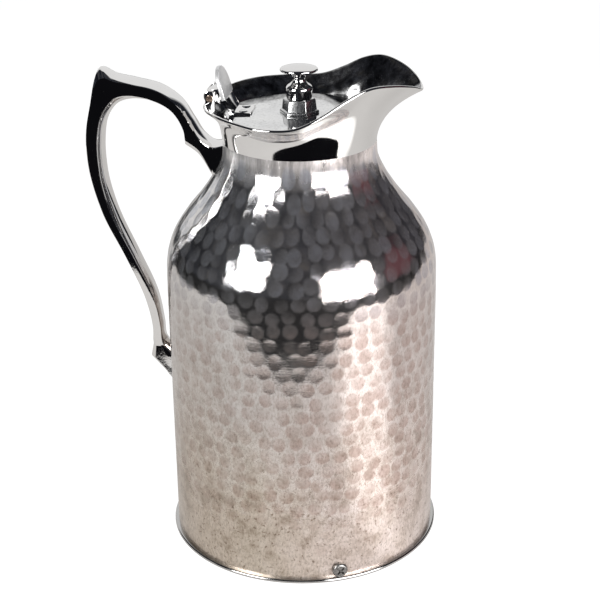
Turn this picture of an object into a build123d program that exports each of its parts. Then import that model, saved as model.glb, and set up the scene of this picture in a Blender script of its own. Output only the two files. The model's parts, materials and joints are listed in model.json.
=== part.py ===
"""Insulated vacuum jug: hammered shell, cast spout collar and handle, thumb-lever lid with a screw-down stopper.

Millimetres. The origin is the centre of the base on the table plane, +Z is up,
+X points to the spout, -X to the handle, and the hinge pin runs along Y.
"""

from build123d import *
import math
import os

os.makedirs("parts", exist_ok=True)

# ---------------------------------------------------------------- driving dimensions
BODY_R = 66.0  # outside radius of the straight wall
SHELL_WALL = 1.0
SHOULDER_Z = 130.0  # where the wall starts to turn in
NECK_R = 36.5  # outside radius at the seam with the collar
SEAM_Z = 204.4

FLANGE_R = 68.0  # base rim that stands proud of the wall
FLANGE_T = 1.8
FLANGE_CHAMFER = 0.5
SKIRT_R = 64.8  # upstand of the base cap, inside the shell
SKIRT_T = 1.2
SKIRT_TOP = 14.0
FLOOR_T = 1.5  # floor of the cap, at the top of the skirt

BASE_SCREW_ANGLES = (-67.5, 52.5, 172.5)
BASE_SCREW_Z = 5.8
BASE_SCREW_HEAD_R = 3.8
BASE_SCREW_R = 1.95
BASE_SCREW_HOLE_R = 2.05

HANDLE_SCREW_R = 1.95
UPPER_SCREW_Z = 192.0  # through the neck into the handle's pad
LOWER_SCREW_Z = 86.0  # through the wall into the handle's foot

COLLAR_WALL = 1.6
LEDGE_R = 27.0  # inside radius of the ring the stopper closes on
LEDGE_ROOT_R = NECK_R - 0.6  # the ledge grows out of the collar's wall
LEDGE_Z = 206.0
LEDGE_T = 2.0
SPIGOT_R = 35.4  # sleeve of the collar inside the neck
SPIGOT_WALL = 1.6
SPIGOT_BOTTOM = 197.0

PIN_X = -41.0  # hinge pin
PIN_Z = 225.0
PIN_R = 1.6
LUG_INNER_Y = 6.5
LUG_OUTER_Y = 9.0
LUG_FRONT_X = -38.8
LUG_REAR_X = -43.2
LUG_TOP_Z = 228.5
KNUCKLE_R = 3.4
KNUCKLE_HALF = 6.2

LID_R = 35.6
LID_Z = 215.5
LID_T = 1.5
LID_TOP = LID_Z + LID_T
GLAND_R = 5.0  # threaded bush through the lid
RIVET_R = 1.3  # two rivets hold the lever's foot on the lid
RIVET_X = -26.0
RIVET_Y = 4.4
RIVET_SPOTS = ((RIVET_X, RIVET_Y), (RIVET_X, -RIVET_Y))
SPINDLE_R = 2.5  # M5 spindle
RUN = 0.05  # running clearance on a radius
DRILL_REACH = BODY_R + 5.0  # from the axis to past the wall

HANDLE_ROUND = 2.2  # rounding of the handle's long edges

FLASK_WALL = 1.5
LIP_Z = 203.0
GASKET_T = LEDGE_Z - LIP_Z

# ---------------------------------------------------------------- shared curves
# Outside of the shell from the top of the straight wall to the seam, (radius, height).
SHOULDER = [
    (BODY_R, SHOULDER_Z),
    (65.2, 147.5),
    (61.9, 158.0),
    (55.6, 168.0),
    (47.3, 178.4),
    (40.7, 188.5),
    (37.2, 196.5),
    (NECK_R, SEAM_Z),
]

# Outside of the glass flask from the middle of its bottom to its neck.
FLASK_BOTTOM_Z = 19.0
FLASK_R = 56.0
FLASK_SIDE_BOTTOM = 48.0
FLASK_SIDE_TOP = 134.0
FLASK_NECK_R = 32.4


def shifted(points, amount):
    """The curve moved inwards, square to itself, by the wall thickness."""
    moved = []
    last = len(points) - 1
    for index, (r, z) in enumerate(points):
        before = points[max(index - 1, 0)]
        after = points[min(index + 1, last)]
        run = after[0] - before[0]
        rise = after[1] - before[1]
        if index in (0, last):
            run, rise = 0.0, 1.0
        length = math.hypot(run, rise)
        moved.append((r - amount * rise / length, z + amount * run / length))
    return moved


def polar(radius, angle):
    """A point (x, y) at this radius and angle in degrees."""
    return radius * math.cos(math.radians(angle)), radius * math.sin(math.radians(angle))


def radial_plane(angle, height):
    """A plane on the jug axis that looks outwards at this angle."""
    return Plane(origin=(0, 0, height), x_dir=(0, 0, 1), z_dir=(*polar(1.0, angle), 0))


# ---------------------------------------------------------------- hammered shell
shell_inside = shifted(SHOULDER, SHELL_WALL)

with BuildPart() as body_shell:
    with BuildSketch(Plane.XZ) as shell_section:
        with BuildLine() as shell_line:
            Line((BODY_R, FLANGE_T), SHOULDER[0])
            Spline(*SHOULDER, tangents=[(0, 1), (0, 1)])
            Line(SHOULDER[-1], shell_inside[-1])
            Spline(*shell_inside, tangents=[(0, 1), (0, 1)])
            Line(shell_inside[0], (BODY_R - SHELL_WALL, FLANGE_T))
            Line((BODY_R - SHELL_WALL, FLANGE_T), (BODY_R, FLANGE_T))
        make_face()
    revolve(axis=Axis.Z)
    for angle in BASE_SCREW_ANGLES:
        with BuildSketch(radial_plane(angle, BASE_SCREW_Z)) as shell_hole:
            Circle(BASE_SCREW_HOLE_R)
        extrude(amount=DRILL_REACH, mode=Mode.SUBTRACT)
    for height in (UPPER_SCREW_Z, LOWER_SCREW_Z):
        with BuildSketch(radial_plane(180, height)) as handle_hole:
            Circle(HANDLE_SCREW_R)
        extrude(amount=DRILL_REACH, mode=Mode.SUBTRACT)
body_shell.part.label = "body_shell"
export_step(body_shell.part, "parts/body_shell.step")

# ---------------------------------------------------------------- base cap
with BuildPart() as base_cap:
    with BuildSketch(Plane.XZ) as base_section:
        with BuildLine() as base_line:
            Polyline(
                (0, SKIRT_TOP - FLOOR_T),
                (SKIRT_R - SKIRT_T, SKIRT_TOP - FLOOR_T),
                (SKIRT_R - SKIRT_T, 0.0),
                (FLANGE_R - FLANGE_CHAMFER, 0.0),
                (FLANGE_R, FLANGE_CHAMFER),
                (FLANGE_R, FLANGE_T - FLANGE_CHAMFER),
                (FLANGE_R - FLANGE_CHAMFER, FLANGE_T),
                (SKIRT_R, FLANGE_T),
                (SKIRT_R, SKIRT_TOP),
                (0, SKIRT_TOP),
                (0, SKIRT_TOP - FLOOR_T),
            )
        make_face()
    revolve(axis=Axis.Z)
    for angle in BASE_SCREW_ANGLES:
        with BuildSketch(radial_plane(angle, BASE_SCREW_Z)) as base_hole:
            Circle(BASE_SCREW_HOLE_R)
        extrude(amount=DRILL_REACH, mode=Mode.SUBTRACT)
base_cap.part.label = "base_cap"
export_step(base_cap.part, "parts/base_cap.step")

# ---------------------------------------------------------------- base screws and their captive nuts
NUT_R = 4.0  # across the corners
NUT_T = 2.6
NUT_GAP = 0.2  # between the flat nut and the round skirt
HEAD_SEAT_R = FLANGE_R - 1.8  # flat seat just outside the wall
HEAD_RISE = 2.2
HEAD_ROUND = 1.4
SLOT_L = 4.4
SLOT_W = 1.0
SLOT_DEPTH = 1.3
SHANK_BEHIND_SKIRT = 4.5
skirt_inside = SKIRT_R - SKIRT_T

for index, angle in enumerate(BASE_SCREW_ANGLES, start=1):
    with BuildPart() as base_screw:
        with BuildSketch(radial_plane(angle, BASE_SCREW_Z).offset(skirt_inside - SHANK_BEHIND_SKIRT)) as shank:
            Circle(BASE_SCREW_R)
        extrude(amount=HEAD_SEAT_R - skirt_inside + SHANK_BEHIND_SKIRT + HEAD_RISE / 4)
        with BuildSketch(radial_plane(angle, BASE_SCREW_Z).offset(HEAD_SEAT_R)) as head:
            Circle(BASE_SCREW_HEAD_R)
        extrude(amount=HEAD_RISE)
        crown = base_screw.faces().sort_by_distance((*polar(FLANGE_R + 4, angle), BASE_SCREW_Z))[0]
        fillet(crown.edges(), radius=HEAD_ROUND)
        with BuildSketch(radial_plane(angle, BASE_SCREW_Z).offset(HEAD_SEAT_R + HEAD_RISE)) as cross:
            Rectangle(SLOT_L, SLOT_W, rotation=45)
            Rectangle(SLOT_L, SLOT_W, rotation=-45)
        extrude(amount=-SLOT_DEPTH, mode=Mode.SUBTRACT)
    base_screw.part.label = f"base_screw_{index}"
    export_step(base_screw.part, f"parts/base_screw_{index}.step")

    with BuildPart() as base_nut:
        with BuildSketch(radial_plane(angle, BASE_SCREW_Z).offset(skirt_inside - NUT_T - NUT_GAP)) as nut_shape:
            RegularPolygon(NUT_R, 6)
            Circle(BASE_SCREW_R, mode=Mode.SUBTRACT)
        extrude(amount=NUT_T)
    base_nut.part.label = f"base_nut_{index}"
    export_step(base_nut.part, f"parts/base_nut_{index}.step")

# ---------------------------------------------------------------- spout collar
# The rim from above the spout (0 degrees) round to the hinge (180 degrees): angle, radius, height,
# slope of the flare at the rim, how far up the wall the flare starts (share of the rise),
# length of the flare, and lean of the wall where it leaves the seam.
RIM = [
    (0.0, 57.5, 229.0, 26.0, 0.50, 11.0, 4.0),
    (12.0, 55.0, 232.4, 34.0, 0.50, 11.0, 5.0),
    (26.0, 51.4, 235.5, 50.0, 0.50, 11.0, 9.0),
    (42.0, 48.6, 236.5, 62.0, 0.50, 11.0, 13.0),
    (57.0, 48.5, 232.9, 56.0, 0.66, 13.0, 0.0),
    (70.0, 48.6, 227.2, 42.0, 0.75, 14.2, 0.0),
    (84.0, 49.6, 222.2, 30.0, 0.75, 14.2, 0.0),
    (100.0, 50.2, 221.2, 27.0, 0.72, 13.6, 5.0),
    (120.0, 48.0, 221.8, 31.0, 0.60, 12.0, 11.0),
    (140.0, 46.0, 221.8, 35.0, 0.60, 10.5, 12.0),
    (160.0, 44.9, 220.8, 39.0, 0.60, 10.0, 10.0),
    (180.0, 44.6, 220.3, 40.0, 0.60, 10.0, 9.0),
]
LIP_BULGE = 0.5  # roundness of the rim
LUG_CHAMFER = 1.2
LUG_REAR_Z = 219.0  # where the lugs grow out of the flare
LUG_FRONT_Z = 216.0
LUG_ROOT_X = -40.4
NOTCH_Z = 220.9  # the rim is cut down to this between the lugs
NOTCH_L = 12.0


def slice_plane(angle):
    """The plane through the axis at this angle, its x outwards and its y up."""
    return Plane(origin=(0, 0, 0), x_dir=(*polar(1.0, angle), 0), z_dir=(*polar(1.0, angle - 90), 0))


def add_collar_slice(rim_r, rim_z, slope, flare_start, flare, lean):
    """One thin-walled slice of the flare: outside, rounded rim, inside, bottom."""
    slope_x = math.cos(math.radians(slope))
    slope_z = math.sin(math.radians(slope))
    knee_z = SEAM_Z + flare_start * (rim_z - SEAM_Z)
    knee_out = math.tan(math.radians(lean)) * (knee_z - SEAM_Z)
    back_r = rim_r - flare * slope_x
    back_z = rim_z - flare * slope_z
    wall_r = -COLLAR_WALL * slope_z
    wall_z = COLLAR_WALL * slope_x
    seam_in_r = NECK_R - COLLAR_WALL
    rim_in = (rim_r + wall_r, rim_z + wall_z)
    Bezier((NECK_R, SEAM_Z), (NECK_R + knee_out, knee_z), (back_r, back_z), (rim_r, rim_z))
    lip = (rim_r + wall_r / 2 + LIP_BULGE * slope_x, rim_z + wall_z / 2 + LIP_BULGE * slope_z)
    ThreePointArc((rim_r, rim_z), lip, rim_in)
    Bezier(rim_in, (back_r + wall_r, back_z + wall_z), (seam_in_r + knee_out, knee_z), (seam_in_r, SEAM_Z))
    Line((seam_in_r, SEAM_Z), (NECK_R, SEAM_Z))


with BuildPart() as collar:
    for angle, *rim in RIM:
        with BuildSketch(slice_plane(angle)) as collar_slice:
            with BuildLine() as collar_line:
                add_collar_slice(*rim)
            make_face()
    loft()
    mirror(about=Plane.XZ)
    with BuildSketch(Plane.XZ) as ledge_section:
        with BuildLine() as ledge_line:
            Polyline(
                (LEDGE_ROOT_R, SEAM_Z),
                (LEDGE_ROOT_R, LEDGE_Z + LEDGE_T),
                (LEDGE_R, LEDGE_Z + LEDGE_T),
                (LEDGE_R, LEDGE_Z),
                (SPIGOT_R - SPIGOT_WALL, LEDGE_Z),
                (SPIGOT_R - SPIGOT_WALL, SPIGOT_BOTTOM),
                (SPIGOT_R, SPIGOT_BOTTOM),
                (SPIGOT_R, SEAM_Z),
                (LEDGE_ROOT_R, SEAM_Z),
            )
        make_face()
    revolve(axis=Axis.Z)
    with BuildSketch(Plane.XZ.offset(-LUG_OUTER_Y)) as lug_sketch:
        with BuildLine() as lug_line:
            Polyline(
                (LUG_REAR_X, LUG_REAR_Z),
                (LUG_REAR_X, LUG_TOP_Z - LUG_CHAMFER),
                (LUG_REAR_X + LUG_CHAMFER, LUG_TOP_Z),
                (LUG_FRONT_X - LUG_CHAMFER, LUG_TOP_Z),
                (LUG_FRONT_X, LUG_TOP_Z - LUG_CHAMFER),
                (LUG_FRONT_X, LUG_FRONT_Z),
                (LUG_ROOT_X, LUG_FRONT_Z),
                (LUG_REAR_X, LUG_REAR_Z),
            )
        make_face()
    extrude(amount=2 * LUG_OUTER_Y)
    with BuildSketch(Plane.XZ.offset(-LUG_INNER_Y)) as lug_gap:
        with Locations((PIN_X, LUG_TOP_Z)):
            Rectangle(NOTCH_L, 2 * (LUG_TOP_Z - NOTCH_Z))
    extrude(amount=2 * LUG_INNER_Y, mode=Mode.SUBTRACT)
    with BuildSketch(Plane.XZ.offset(-LUG_OUTER_Y - 1)) as lug_bore:
        with Locations((PIN_X, PIN_Z)):
            Circle(PIN_R)
    extrude(amount=2 * LUG_OUTER_Y + 2, mode=Mode.SUBTRACT)
collar.part.label = "collar"
export_step(collar.part, "parts/collar.step")

# ---------------------------------------------------------------- hinge pin
PIN_HALF = 9.5
with BuildPart() as hinge_pin:
    with BuildSketch(Plane.XZ.offset(-PIN_HALF)) as pin_section:
        with Locations((PIN_X, PIN_Z)):
            Circle(PIN_R)
    extrude(amount=2 * PIN_HALF)
hinge_pin.part.label = "hinge_pin"
export_step(hinge_pin.part, "parts/hinge_pin.step")

# ---------------------------------------------------------------- lid plate
with BuildPart() as lid_plate:
    with BuildSketch(Plane.XY.offset(LID_Z)) as lid_disc:
        Circle(LID_R)
        Circle(GLAND_R + RUN, mode=Mode.SUBTRACT)
        with Locations(*RIVET_SPOTS):
            Circle(RIVET_R, mode=Mode.SUBTRACT)
    extrude(amount=LID_T)
    chamfer(lid_plate.edges().group_by(Axis.Z)[-1].sort_by(SortBy.RADIUS)[-1], length=0.4)
lid_plate.part.label = "lid_plate"
export_step(lid_plate.part, "parts/lid_plate.step")

# ---------------------------------------------------------------- thumb lever: thumb plate, strap, knuckle
LEVER_T = 2.0
THUMB_BOTTOM = (-33.2, 224.6)
THUMB_TOP = (-37.2, 238.5)
THUMB_HALF = 10.5
THUMB_TAPER = 0.6  # narrower on each side at the shoulder
THUMB_SHOULDER = 7.0  # height up the plate where its top starts to round
FOLD = (-30.4, LID_TOP)
STRAP_HALF = 7.3
FOOT_END_X = -22.0
FOOT_T = 1.0

lean_x = THUMB_TOP[0] - THUMB_BOTTOM[0]
lean_z = THUMB_TOP[1] - THUMB_BOTTOM[1]
thumb_length = math.hypot(lean_x, lean_z)
thumb_plane = Plane(
    origin=(THUMB_BOTTOM[0], 0, THUMB_BOTTOM[1]),
    x_dir=(0, 1, 0),
    z_dir=(lean_z / thumb_length, 0, -lean_x / thumb_length),
)

with BuildPart() as thumb_lever:
    with BuildSketch(thumb_plane) as thumb_shape:
        with BuildLine() as thumb_outline:
            Line((-THUMB_HALF, 0), (THUMB_HALF, 0))
            Line((THUMB_HALF, 0), (THUMB_HALF - THUMB_TAPER, THUMB_SHOULDER))
            ThreePointArc(
                (THUMB_HALF - THUMB_TAPER, THUMB_SHOULDER),
                (0, thumb_length),
                (THUMB_TAPER - THUMB_HALF, THUMB_SHOULDER),
            )
            Line((THUMB_TAPER - THUMB_HALF, THUMB_SHOULDER), (-THUMB_HALF, 0))
        make_face()
    extrude(amount=-LEVER_T)
    with BuildSketch(Plane.XZ.offset(-STRAP_HALF)) as strap_shape:
        with BuildLine() as strap_outline:
            Polyline(
                THUMB_BOTTOM,
                (FOLD[0] + 0.5, FOLD[1] + FOOT_T),
                (FOOT_END_X, FOLD[1] + FOOT_T),
                (FOOT_END_X, FOLD[1]),
                (FOLD[0] - 1.6, FOLD[1]),
                (THUMB_BOTTOM[0] - 2.0, THUMB_BOTTOM[1] - 0.6),
                (THUMB_BOTTOM[0] - 1.0, THUMB_BOTTOM[1] + 1.5),
                THUMB_BOTTOM,
            )
        make_face()
    extrude(amount=2 * STRAP_HALF)
    with BuildSketch(Plane.XZ.offset(-KNUCKLE_HALF)) as knuckle_shape:
        with Locations((PIN_X, PIN_Z)):
            Circle(KNUCKLE_R)
        with BuildLine() as web_outline:
            Polyline(
                (PIN_X, PIN_Z + KNUCKLE_R),
                (THUMB_BOTTOM[0] - 2.8, PIN_Z + 4.0),
                (THUMB_BOTTOM[0] - 1.2, PIN_Z - 0.8),
                (PIN_X, PIN_Z - 2.4),
                (PIN_X, PIN_Z + KNUCKLE_R),
            )
        make_face()
    extrude(amount=2 * KNUCKLE_HALF)
    with BuildSketch(Plane.XZ.offset(-KNUCKLE_HALF)) as knuckle_bore:
        with Locations((PIN_X, PIN_Z)):
            Circle(PIN_R + RUN)
    extrude(amount=2 * KNUCKLE_HALF, mode=Mode.SUBTRACT)
    with BuildSketch(Plane.XY.offset(FOLD[1])) as rivet_holes:
        with Locations(*RIVET_SPOTS):
            Circle(RIVET_R)
    extrude(amount=FOOT_T, mode=Mode.SUBTRACT)
thumb_lever.part.label = "thumb_lever"
export_step(thumb_lever.part, "parts/thumb_lever.step")

RIVET_HEAD_R = 2.1
RIVET_HEAD_T = 0.6
for name, (rivet_x, rivet_y) in zip(("near", "far"), reversed(RIVET_SPOTS)):
    with BuildPart() as rivet:
        with BuildSketch(Plane.XY.offset(LID_Z - RIVET_HEAD_T)) as rivet_tail:
            with Locations((rivet_x, rivet_y)):
                Circle(RIVET_HEAD_R)
        extrude(amount=RIVET_HEAD_T)
        with BuildSketch(Plane.XY.offset(LID_Z)) as rivet_shank:
            with Locations((rivet_x, rivet_y)):
                Circle(RIVET_R)
        extrude(amount=LID_T + FOOT_T)
        with BuildSketch(Plane.XY.offset(LID_TOP + FOOT_T)) as rivet_head:
            with Locations((rivet_x, rivet_y)):
                Circle(RIVET_HEAD_R)
        extrude(amount=RIVET_HEAD_T)
    rivet.part.label = f"lever_rivet_{name}"
    export_step(rivet.part, f"parts/lever_rivet_{name}.step")

# ---------------------------------------------------------------- gland in the middle of the lid
GLAND_NUT_TOP = 224.0
GLAND_CAP_T = 2.0  # top of the nut that closes round the spindle
GLAND_FLANGE_T = 1.5
GLAND_FLANGE_R = 9.4
GLAND_NUT_BOTTOM_R = 8.3  # across the corners
GLAND_NUT_TOP_R = 7.7
LOCK_NUT_T = 1.5
LOCK_NUT_R = 8.0
spindle_bore = SPINDLE_R + RUN

with BuildPart() as gland_nut:
    with BuildSketch(Plane.XY.offset(LID_TOP)) as nut_flange:
        RegularPolygon(GLAND_FLANGE_R, 6)
    extrude(amount=GLAND_FLANGE_T)
    with BuildSketch(Plane.XY.offset(LID_TOP + GLAND_FLANGE_T)) as nut_foot:
        RegularPolygon(GLAND_NUT_BOTTOM_R, 6)
    with BuildSketch(Plane.XY.offset(GLAND_NUT_TOP)) as nut_head:
        RegularPolygon(GLAND_NUT_TOP_R, 6)
    loft()
    with BuildSketch(Plane.XY.offset(LID_TOP)) as nut_thread:
        Circle(GLAND_R + RUN)
    extrude(amount=GLAND_NUT_TOP - GLAND_CAP_T - LID_TOP, mode=Mode.SUBTRACT)
    with BuildSketch(Plane.XY.offset(LID_TOP)) as nut_bore:
        Circle(spindle_bore)
    extrude(amount=GLAND_NUT_TOP - LID_TOP, mode=Mode.SUBTRACT)
gland_nut.part.label = "gland_nut"
export_step(gland_nut.part, "parts/gland_nut.step")

with BuildPart() as gland_bush:
    with BuildSketch(Plane.XY.offset(LID_Z - LOCK_NUT_T)) as bush_ring:
        Circle(GLAND_R)
        Circle(spindle_bore, mode=Mode.SUBTRACT)
    extrude(amount=GLAND_NUT_TOP - GLAND_CAP_T - LID_Z + LOCK_NUT_T)
gland_bush.part.label = "gland_bush"
export_step(gland_bush.part, "parts/gland_bush.step")

with BuildPart() as lock_nut:
    with BuildSketch(Plane.XY.offset(LID_Z - LOCK_NUT_T)) as lock_shape:
        RegularPolygon(LOCK_NUT_R, 6)
        Circle(GLAND_R + RUN, mode=Mode.SUBTRACT)
    extrude(amount=LOCK_NUT_T)
lock_nut.part.label = "lock_nut"
export_step(lock_nut.part, "parts/lock_nut.step")

# ---------------------------------------------------------------- spindle and knob
SPINDLE_BOTTOM = 204.6
SPINDLE_TOP = 236.0
KNOB_BOTTOM = 224.3
KNOB_FOOT_R = 6.0
KNOB_FOOT_TOP = (6.2, 228.0)
KNOB_PROFILE = [(6.4, 228.7), (5.4, 230.2), (3.6, 231.6), (3.0, 233.0), (3.3, 234.6), (5.4, 235.8)]
KNOB_DISC_R = 8.9
KNOB_EDGE_BULGE = 0.3
KNOB_EDGE_BOTTOM = 237.0
KNOB_EDGE_TOP = 238.2
KNOB_TOP = 239.4
PLATE_Z = 210.0  # stopper plate
PLATE_T = 1.0
COLLAR_CLIP_T = 0.8
RETAINER_T = 2.4
RETAINER_R = 4.6

with BuildPart() as spindle:
    with BuildSketch(Plane.XY.offset(SPINDLE_BOTTOM)) as spindle_round:
        Circle(SPINDLE_R)
    extrude(amount=SPINDLE_TOP - SPINDLE_BOTTOM)
spindle.part.label = "spindle"
export_step(spindle.part, "parts/spindle.step")

with BuildPart() as knob:
    with BuildSketch(Plane.XZ) as knob_section:
        with BuildLine() as knob_line:
            Line((0, KNOB_BOTTOM), (KNOB_FOOT_R, KNOB_BOTTOM))
            Line((KNOB_FOOT_R, KNOB_BOTTOM), KNOB_FOOT_TOP)
            Line(KNOB_FOOT_TOP, KNOB_PROFILE[0])
            Spline(*KNOB_PROFILE)
            Line(KNOB_PROFILE[-1], (KNOB_DISC_R - KNOB_EDGE_BULGE, KNOB_EDGE_BOTTOM))
            ThreePointArc(
                (KNOB_DISC_R - KNOB_EDGE_BULGE, KNOB_EDGE_BOTTOM),
                (KNOB_DISC_R, (KNOB_EDGE_BOTTOM + KNOB_EDGE_TOP) / 2),
                (KNOB_DISC_R - KNOB_EDGE_BULGE, KNOB_EDGE_TOP),
            )
            Spline(
                (KNOB_DISC_R - KNOB_EDGE_BULGE, KNOB_EDGE_TOP),
                (KNOB_DISC_R / 2, KNOB_TOP - KNOB_EDGE_BULGE),
                (0, KNOB_TOP),
                tangents=[(-1, 0.5), (-1, 0)],
            )
            Line((0, KNOB_TOP), (0, KNOB_BOTTOM))
        make_face()
    revolve(axis=Axis.Z)
    with BuildSketch(Plane.XY.offset(KNOB_BOTTOM)) as knob_bore:
        Circle(SPINDLE_R)
    extrude(amount=SPINDLE_TOP - KNOB_BOTTOM, mode=Mode.SUBTRACT)
knob.part.label = "knob"
export_step(knob.part, "parts/knob.step")

with BuildPart() as spindle_clip:
    with BuildSketch(Plane.XY.offset(PLATE_Z + PLATE_T + RUN)) as clip_ring:
        Circle(RETAINER_R)
        Circle(SPINDLE_R, mode=Mode.SUBTRACT)
    extrude(amount=COLLAR_CLIP_T)
spindle_clip.part.label = "spindle_clip"
export_step(spindle_clip.part, "parts/spindle_clip.step")

with BuildPart() as retaining_nut:
    with BuildSketch(Plane.XY.offset(PLATE_Z - RUN - RETAINER_T)) as retainer_shape:
        RegularPolygon(RETAINER_R, 6)
        Circle(SPINDLE_R, mode=Mode.SUBTRACT)
    extrude(amount=RETAINER_T)
retaining_nut.part.label = "retaining_nut"
export_step(retaining_nut.part, "parts/retaining_nut.step")

# ---------------------------------------------------------------- stopper
SEAL_Z = LEDGE_Z + LEDGE_T
SEAL_R = 31.0
SEAL_T = PLATE_Z - SEAL_Z
PLATE_R = 14.0
CORE_TOP_R = 24.0
CORE_BOTTOM_R = 17.5
CORE_BOTTOM = 189.0
POCKET_R = 5.6
POCKET_BOTTOM = 203.0
SEAL_HOLE_R = 9.0  # the core's neck passes through the seal

with BuildPart() as stopper_core:
    with BuildSketch(Plane.XZ) as core_section:
        with BuildLine() as core_line:
            Polyline(
                (0, CORE_BOTTOM),
                (CORE_BOTTOM_R - 1.5, CORE_BOTTOM),
                (CORE_BOTTOM_R, CORE_BOTTOM + 1.5),
                (CORE_TOP_R, SEAL_Z),
                (SEAL_HOLE_R, SEAL_Z),
                (SEAL_HOLE_R, PLATE_Z),
                (POCKET_R, PLATE_Z),
                (POCKET_R, POCKET_BOTTOM),
                (0, POCKET_BOTTOM),
                (0, CORE_BOTTOM),
            )
        make_face()
    revolve(axis=Axis.Z)
stopper_core.part.label = "stopper_core"
export_step(stopper_core.part, "parts/stopper_core.step")

with BuildPart() as stopper_seal:
    with BuildSketch(Plane.XY.offset(SEAL_Z)) as seal_ring:
        Circle(SEAL_R)
        Circle(SEAL_HOLE_R, mode=Mode.SUBTRACT)
    extrude(amount=SEAL_T)
stopper_seal.part.label = "stopper_seal"
export_step(stopper_seal.part, "parts/stopper_seal.step")

with BuildPart() as stopper_plate:
    with BuildSketch(Plane.XY.offset(PLATE_Z)) as plate_ring:
        Circle(PLATE_R)
        Circle(SPINDLE_R + RUN, mode=Mode.SUBTRACT)
    extrude(amount=PLATE_T)
stopper_plate.part.label = "stopper_plate"
export_step(stopper_plate.part, "parts/stopper_plate.step")

# ---------------------------------------------------------------- glass flask
THROAT_R = 25.3
OUTER_GLASS = [
    (FLASK_R, FLASK_SIDE_TOP),
    (53.5, 148.0),
    (46.5, 161.0),
    (38.0, 174.0),
    (33.4, 183.5),
    (FLASK_NECK_R, 192.0),
]
INNER_GLASS_R = 50.0
INNER_GLASS = [
    (INNER_GLASS_R, FLASK_SIDE_TOP),
    (47.6, 146.0),
    (41.0, 158.0),
    (32.6, 171.0),
    (27.9, 181.5),
    (THROAT_R + FLASK_WALL, 192.0),
]
GLASS_JOIN_Z = LIP_Z - 3.0
INNER_BOTTOM_Z = FLASK_BOTTOM_Z + 6.0
INNER_SIDE_BOTTOM = 50.0
DOME_RISE = 0.29  # share of the bottom's height reached at DOME_SPREAD of its radius
DOME_SPREAD = 0.7


def bottom_dome(radius, bottom_z, side_bottom):
    """Points on the outside of a bottle's bottom, from its middle to the straight side."""
    dome_z = bottom_z + DOME_RISE * (side_bottom - bottom_z)
    return (0, bottom_z), (DOME_SPREAD * radius, dome_z), (radius, side_bottom)


def glass_section(side, bottom_z, side_bottom, top):
    """A bottle's half section: outside from the bottom up, then the inside back down."""
    inside = shifted(side, FLASK_WALL)
    radius = side[0][0]
    inner_radius = radius - FLASK_WALL
    dome = bottom_dome(radius, bottom_z, side_bottom)
    Spline(*dome, tangents=[(1, 0), (0, 1)])
    Line((radius, side_bottom), side[0])
    Spline(*side, tangents=[(0, 1), (0, 1)])
    Line(side[-1], (side[-1][0], top))
    Line((side[-1][0], top), (inside[-1][0], top))
    Line((inside[-1][0], top), inside[-1])
    Spline(*inside, tangents=[(0, 1), (0, 1)])
    Line(inside[0], (inner_radius, side_bottom))
    Spline(
        (inner_radius, side_bottom),
        (DOME_SPREAD * inner_radius, dome[1][1] + FLASK_WALL),
        (0, bottom_z + FLASK_WALL),
        tangents=[(0, -1), (-1, 0)],
    )
    Line((0, bottom_z + FLASK_WALL), (0, bottom_z))


with BuildPart() as flask_outer:
    with BuildSketch(Plane.XZ) as outer_section:
        with BuildLine() as outer_line:
            glass_section(OUTER_GLASS, FLASK_BOTTOM_Z, FLASK_SIDE_BOTTOM, GLASS_JOIN_Z)
        make_face()
    revolve(axis=Axis.Z)
flask_outer.part.label = "flask_outer"
export_step(flask_outer.part, "parts/flask_outer.step")

with BuildPart() as flask_inner:
    with BuildSketch(Plane.XZ) as inner_section:
        with BuildLine() as inner_line:
            glass_section(INNER_GLASS, INNER_BOTTOM_Z, INNER_SIDE_BOTTOM, LIP_Z)
        make_face()
    revolve(axis=Axis.Z)
    with BuildSketch(Plane.XY.offset(GLASS_JOIN_Z)) as lip_ring:
        Circle(FLASK_NECK_R)
        Circle(THROAT_R + FLASK_WALL / 2, mode=Mode.SUBTRACT)
    extrude(amount=LIP_Z - GLASS_JOIN_Z)
flask_inner.part.label = "flask_inner"
export_step(flask_inner.part, "parts/flask_inner.step")

with BuildPart() as flask_envelope:
    with BuildSketch(Plane.XZ) as envelope_section:
        with BuildLine() as envelope_line:
            Spline(*bottom_dome(FLASK_R, FLASK_BOTTOM_Z, FLASK_SIDE_BOTTOM), tangents=[(1, 0), (0, 1)])
            Line((FLASK_R, FLASK_SIDE_BOTTOM), (0, FLASK_SIDE_BOTTOM))
            Line((0, FLASK_SIDE_BOTTOM), (0, FLASK_BOTTOM_Z))
        make_face()
    revolve(axis=Axis.Z)

# ---------------------------------------------------------------- soft rings that hold the flask
SUPPORT_IN_R = 16.0
SUPPORT_OUT_R = 40.0
SUPPORT_TOP = 27.0
RING_BOTTOM = 60.0
RING_TOP = 66.0
SPACER_ANGLES = (30.0, 150.0, 270.0)
SPACER_Z = 90.0
SPACER_R = 3.5
GASKET_IN_R = 26.5
GASKET_OUT_R = 33.0

with BuildPart() as flask_support:
    with BuildSketch(Plane.XY.offset(SKIRT_TOP)) as support_ring:
        Circle(SUPPORT_OUT_R)
        Circle(SUPPORT_IN_R, mode=Mode.SUBTRACT)
    extrude(amount=SUPPORT_TOP - SKIRT_TOP)
    add(flask_envelope.part, mode=Mode.SUBTRACT)
flask_support.part.label = "flask_support"
export_step(flask_support.part, "parts/flask_support.step")

with BuildPart() as centering_ring:
    with BuildSketch(Plane.XY.offset(RING_BOTTOM)) as ring_shape:
        Circle(BODY_R - SHELL_WALL)
        Circle(FLASK_R, mode=Mode.SUBTRACT)
    extrude(amount=RING_TOP - RING_BOTTOM)
centering_ring.part.label = "centering_ring"
export_step(centering_ring.part, "parts/centering_ring.step")

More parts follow.
